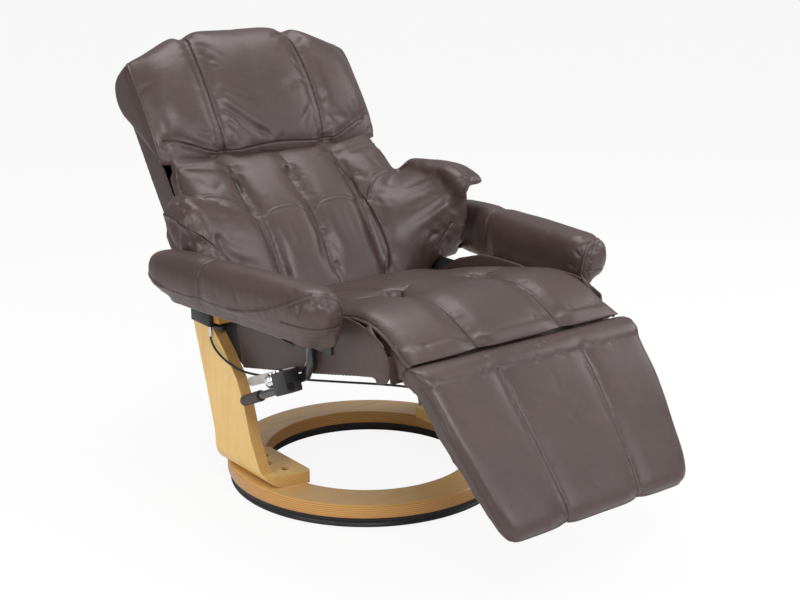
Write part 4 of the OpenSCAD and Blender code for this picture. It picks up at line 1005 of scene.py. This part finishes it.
def arm_shaped(ref, skirt):
    """Stretches the pad down over its board, lets the nose hang lower and draws the inner side down by skirt."""
    def shaped(co, n):
        p = ref.mm(co)
        z = np.maximum(p[:, 2], 0)
        nose = smooth((-p[:, 1] - 240) / 90)
        p[:, 2] = np.where(p[:, 2] < 0, p[:, 2] - 3, z * 1.15 - 3)
        p[:, 2] -= 30 * smooth((-p[:, 1] - 288) / 50) * smooth((8 - p[:, 0]) / 30) * smooth((58 - p[:, 2]) / 60)
        p[:, 0] *= 1 + 0.12 * nose
        p[:, 2] -= skirt * smooth((-p[:, 0] - 14) / 26) * smooth((46 - p[:, 2]) / 60)
        return ref.world(p * MM)
    return shaped


ARM_PIPING = [(46, 205, 36), (46, 149, 24), (47, 120, 17), (47, 66, 14), (47, -10, 17), (47, -61, 16),
              (46, -111, 20), (46, -160, 29), (46, -208, 41), (46, -255, 57), (44, -295, 75)]
ARM_NOSE = [(44, -295, 75), (38, -322, 88), (22, -345, 94), (2, -358, 93), (-18, -364, 86), (-31, -366, 70),
            (-35, -364, 50), (-34, -358, 26), (-28, -348, 9)]


def arm_makers(side):
    ref = arm_ref(side)

    def seams(obj):
        piping = ref.line(ARM_PIPING)
        nose = ref.line(ARM_NOSE)
        made = [Welt(rounded(piping, 2), 1.6, 0.5, seed=3), Welt(rounded(nose, 2), 2.0, 0.6, seed=4)]
        made.append(Seam(rounded(nose, 2), 1.0, 3, 1.5, 12, 2.2, 16, pin=False, seed=6))
        made += folds(obj, piping[5:], 12, 140, (25, 70), (0.4, 1.0), (5, 8), lean=25)
        made += folds(obj, nose, 26, 143, (14, 42), (1.0, 2.4), (4, 6.5), lean=25)
        round_arm = [(48 * math.sin(a), -2, 50 + 50 * math.cos(a)) for a in np.linspace(2.2, -2.5, 24)]
        made.append(Seam(ref.line(round_arm), 2.6, 2.2, 4.0, 22, 0.4, 18, seed=8))
        cap = ref.line([(46, -268, 33), (44, -310, 36), (30, -348, 38), (5, -366, 38), (-25, -366, 34)])
        made.append(Seam(cap, 1.8, 2.0, 1.4, 14, 0.6, 14, pin=False, seed=9))
        return made

    def held(co, n):
        p = ref.mm(co)
        return (p[:, 2] < 6).astype(float)

    def extra(co, n):
        p = ref.mm(co)
        return 1.8 * layered(p * [0.012, 0.007, 0.014], 2, 51)

    return seams, held, extra


# Leather stretched over boards: side panels and the back's rear shell

def board_seams(obj):
    """No seams: the leather is plain here."""
    return []


def board_held(co, n):
    return np.ones(len(co))


def board_extra(co, n):
    return 0.9 * layered(co * [14, 8, 8], 3, 61)


PANEL_NOSE = [(57, 54), (63, 36), (78, 24), (112, 19), (112, 150), (86, 104), (66, 86), (58, 72)]
PANEL_RISE = [(290, 140), (606, 140), (606, 166), (560, 180), (520, 190), (430, 197), (360, 184), (290, 166)]


PANEL_SIDES = (279.6, 287.6)


# Finish of every CAD node, and slightly rounded edges on the hard parts that show

NODE_SLOT = {row["node"]: row["material_slot"] for row in frame["record"]["subparts"]}
BODY_OF = {n: body for body, names in frame["record"]["behaviour"]["bodies"].items() for n in names}
for node_name, node in frame["nodes"].items():
    node.data.materials.clear()
    node.data.materials.append(MATS[NODE_SLOT[node_name]])


def take_over(obj, nodes):
    """The object stands for these nodes, and has the finish and the body of the first."""
    finish_as(obj, NODE_SLOT[nodes[0]])
    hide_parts(*nodes)
    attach(obj, BODY_OF[nodes[0]])


def cushion(name, nodes, makers, fill, covers=None, **shape):
    """A padded piece made from its nodes, which stands for them or for the ones that it covers."""
    obj = soft(name, nodes, *makers, **shape)
    take_over(obj, covers or nodes)


def eased(node, width):
    """A copy of a hard node whose edges are rounded by this width, which stands for it."""
    bm = bmesh.new()
    bm.from_mesh(frame["nodes"][node].data)
    bmesh.ops.remove_doubles(bm, verts=bm.verts, dist=1e-6)
    bmesh.ops.dissolve_limit(bm, angle_limit=math.radians(0.6), verts=bm.verts, edges=bm.edges)
    mesh = bpy.data.meshes.new(node + "_eased")
    bm.to_mesh(mesh)
    bm.free()
    obj = add_object(node + "_eased", mesh)
    m = obj.modifiers.new("Bevel", "BEVEL")
    m.width = width
    m.segments = 2
    m.limit_method = "ANGLE"
    m.angle_limit = math.radians(30)
    m.use_clamp_overlap = True
    m.harden_normals = True
    shade_smooth(obj)
    bake(obj)
    take_over(obj, [node])


# Leather pieces

cushion("seat_cushion_cover", ["seat_cushion"], (seat_seams, seat_held, seat_extra), 0.8, cap=0.013)
cushion("back_pad_cover", ["back_pad", "wing_left"], (back_seams, back_held, back_extra), 0.6,
        covers=["back_pad", "wing_left", "wing_right"], cap=0.016,
        filler=[wing_rings(1, WING_FULL, 336, 1.25), wing_rings(-1, WING_NEAR, 336, 1.1, WING_NEAR_END),
                pad_neck()])
cushion("head_cushion_cover", ["head_cushion"], (head_seams, head_held, head_extra), 0.6, cap=0.018,
        filler=head_cheeks(), shaped=head_shaped, relax=16)
cushion("footrest_cover", ["footrest_pad", "footrest_board"], (foot_seams, foot_held, foot_extra), 0.75, cap=0.009,
        shaped=foot_shaped, relax=18)
for side, word in ((-1, "right"), (1, "left")):
    cushion("arm_cover_" + word, ["arm_pad_" + word, "arm_board_" + word], arm_makers(side), 0.8, voxel=0.0055,
            cap=0.010, shaped=arm_shaped(arm_ref(side), 44 if side > 0 else 0))

for side, word in ((-1, "right"), (1, "left")):
    sides = sorted(side * x for x in PANEL_SIDES)
    panel = soft("seat_panel_cover_" + word, ["seat_panel_" + word], board_seams, board_held, board_extra,
                 voxel=0.003, relax=9, cap=0, shrink=0, fine=False,
                 filler=[SEAT.across(PANEL_RISE, sides), SEAT.across(PANEL_NOSE, sides)])
    take_over(panel, ["seat_panel_" + word])

shell = soft("back_shell_cover", ["back_shell"], board_seams, board_held, board_extra, voxel=0.0035, relax=5,
             cap=0, shrink=0, fine=False)
take_over(shell, ["back_shell"])

# Thin leather sheet over the front rail, behind the footrest's roll: painted shade, which darkens the rail's face
# where it lies in shade under the seat's nose

RAIL_SHADE_PROFILE = [(61.4, 24), (59.2, 24), (58.9, 40), (58.9, 62), (59.2, 78), (61.4, 78)]
rail_shade_rings = SEAT.across(RAIL_SHADE_PROFILE, np.linspace(-287, 287, 60))
rail_shade_mesh = bpy.data.meshes.new("front_rail_shade_sheet")
rail_shade_mesh.from_pydata(np.concatenate(rail_shade_rings).tolist(), [], loft_faces(len(RAIL_SHADE_PROFILE), len(rail_shade_rings)))
rail_shade_sheet = add_object("front_rail_shade_sheet", rail_shade_mesh)
# Painted shade: the sheet takes the dark leather finish so that the rail's face looks shaded
finish_as(rail_shade_sheet, "leather_panel")
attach(rail_shade_sheet, BODY_OF["seat_frame"])

# Release cable: the route of the source, as one smooth curve

SWIVEL_Y = 64.6
CABLE_D = 0.005
CABLE = [(-327, 139, 362), (-327, 139, 352), (-327, 136, 345), (-327, 129, 337), (-327, 118, 329), (-327, 103, 322),
         (-326.5, 86, 317), (-326, 70, 313), (-323.5, 56, 309), (-318, 45, 304), (-309, 37, 298), (-297, 30, 293),
         (-282, 22, 288), (-262, 11, 283), (-238, -3, 279), (-210, -21, 275), (-180, -43, 272), (-150, -68, 270),
         (-122, -95, 269), (-98, -124, 270), (-78, -155, 272), (-62, -187, 275), (-51, -218, 278), (-44, -246, 280),
         (-40, -262, 281.5), (-35, -273, 282), (-27, -279, 282), (-18, -281, 282), (-8, -281, 282)]

cable_path = np.array([(x, y + SWIVEL_Y, z) for x, y, z in CABLE], float) * MM
cable_data = bpy.data.curves.new("release_cable_sheath", "CURVE")
cable_data.dimensions = "3D"
cable_data.bevel_depth = CABLE_D / 2
cable_data.bevel_resolution = 5
cable_data.use_fill_caps = True
spline = cable_data.splines.new("NURBS")
spline.points.add(len(cable_path) - 1)
for point, place in zip(spline.points, cable_path):
    point.co = (*place, 1)
spline.order_u = 4
spline.use_endpoint_u = True
cable = bpy.data.objects.new("release_cable_sheath", cable_data)
scene.collection.objects.link(cable)
take_over(cable, ["release_cable"])

# Hard parts with eased edges

for node_name, width in (("lever_bar", 0.0008), ("lever_clamp", 0.0012), ("lever_plate", 0.0006),
                         ("cable_housing", 0.0015), ("clamp_paddle", 0.0012), ("arm_brackets", 0.0006),
                         ("floor_ring", 0.0008)):
    eased(node_name, width)

# Floor, light and backdrop: the floor and the room look white to the camera and light the chair softly

FLOOR_HALF = 60
FLOOR_GAP = 0.0005
FLOOR_GLOW = 0.90
ROOM_LIGHT = 0.36

floor_mesh = bpy.data.meshes.new("studio_floor")
floor_mesh.from_pydata([(x * FLOOR_HALF, y * FLOOR_HALF, 0) for x, y in ((-1, -1), (1, -1), (1, 1), (-1, 1))],
                       [], [(0, 1, 2, 3)])
floor = add_object("studio_floor", floor_mesh)
floor.location.z = -FLOOR_GAP
paper = bpy.data.materials.new("studio_floor_m")
tree = fresh_tree(paper)
out = tree.nodes.new("ShaderNodeOutputMaterial")
mixer = tree.nodes.new("ShaderNodeMixShader")
diffuse = tree.nodes.new("ShaderNodeBsdfDiffuse")
diffuse.inputs["Color"].default_value = (0.88, 0.88, 0.88, 1)
glow = tree.nodes.new("ShaderNodeEmission")
glow.inputs["Color"].default_value = (1, 1, 1, 1)
glow.inputs["Strength"].default_value = 1.0
path = tree.nodes.new("ShaderNodeLightPath")
seen = tree.nodes.new("ShaderNodeMath")
seen.operation = "MULTIPLY"
seen.inputs[1].default_value = FLOOR_GLOW
tree.links.new(path.outputs["Is Camera Ray"], seen.inputs[0])
tree.links.new(seen.outputs[0], mixer.inputs[0])
tree.links.new(diffuse.outputs[0], mixer.inputs[1])
tree.links.new(glow.outputs[0], mixer.inputs[2])
tree.links.new(mixer.outputs[0], out.inputs["Surface"])
floor.data.materials.append(paper)

world = bpy.data.worlds.new("studio")
scene.world = world
tree = fresh_tree(world)
out = tree.nodes.new("ShaderNodeOutputWorld")
background = tree.nodes.new("ShaderNodeBackground")
background.inputs["Color"].default_value = (1, 1, 1, 1)
path = tree.nodes.new("ShaderNodeLightPath")
strength = tree.nodes.new("ShaderNodeMapRange")
strength.inputs["To Min"].default_value = ROOM_LIGHT
strength.inputs["To Max"].default_value = 1.0
tree.links.new(path.outputs["Is Camera Ray"], strength.inputs["Value"])
tree.links.new(strength.outputs[0], background.inputs["Strength"])
tree.links.new(background.outputs[0], out.inputs["Surface"])


def soft_light(name, at, aim, size, power, colour=(1, 1, 1)):
    data = bpy.data.lights.new(name, "AREA")
    data.color = colour
    data.shape = "RECTANGLE"
    data.size, data.size_y = size
    data.energy = power
    obj = bpy.data.objects.new(name, data)
    scene.collection.objects.link(obj)
    obj.location = at
    obj.rotation_mode = "QUATERNION"
    obj.rotation_quaternion = (Vector(aim) - Vector(at)).to_track_quat("-Z", "Y")


soft_light("key_light", (-1.3, -2.6, 3.1), (0, 0, 0.5), (1.8, 1.2), 68)
soft_light("side_light", (-3.2, -0.4, 1.9), (0, 0, 0.4), (1.4, 1.8), 32)
soft_light("front_light", (1.2, -3.8, 2.0), (0, -0.5, 0.4), (2.2, 1.6), 48, (0.90, 0.93, 1.0))
soft_light("far_light", (3.0, -0.8, 2.4), (0, 0, 0.5), (1.8, 2.0), 34)
soft_light("top_light", (0.4, 0.9, 3.2), (0, 0, 0.5), (2.2, 1.6), 44)

scene.view_settings.view_transform = "Standard"
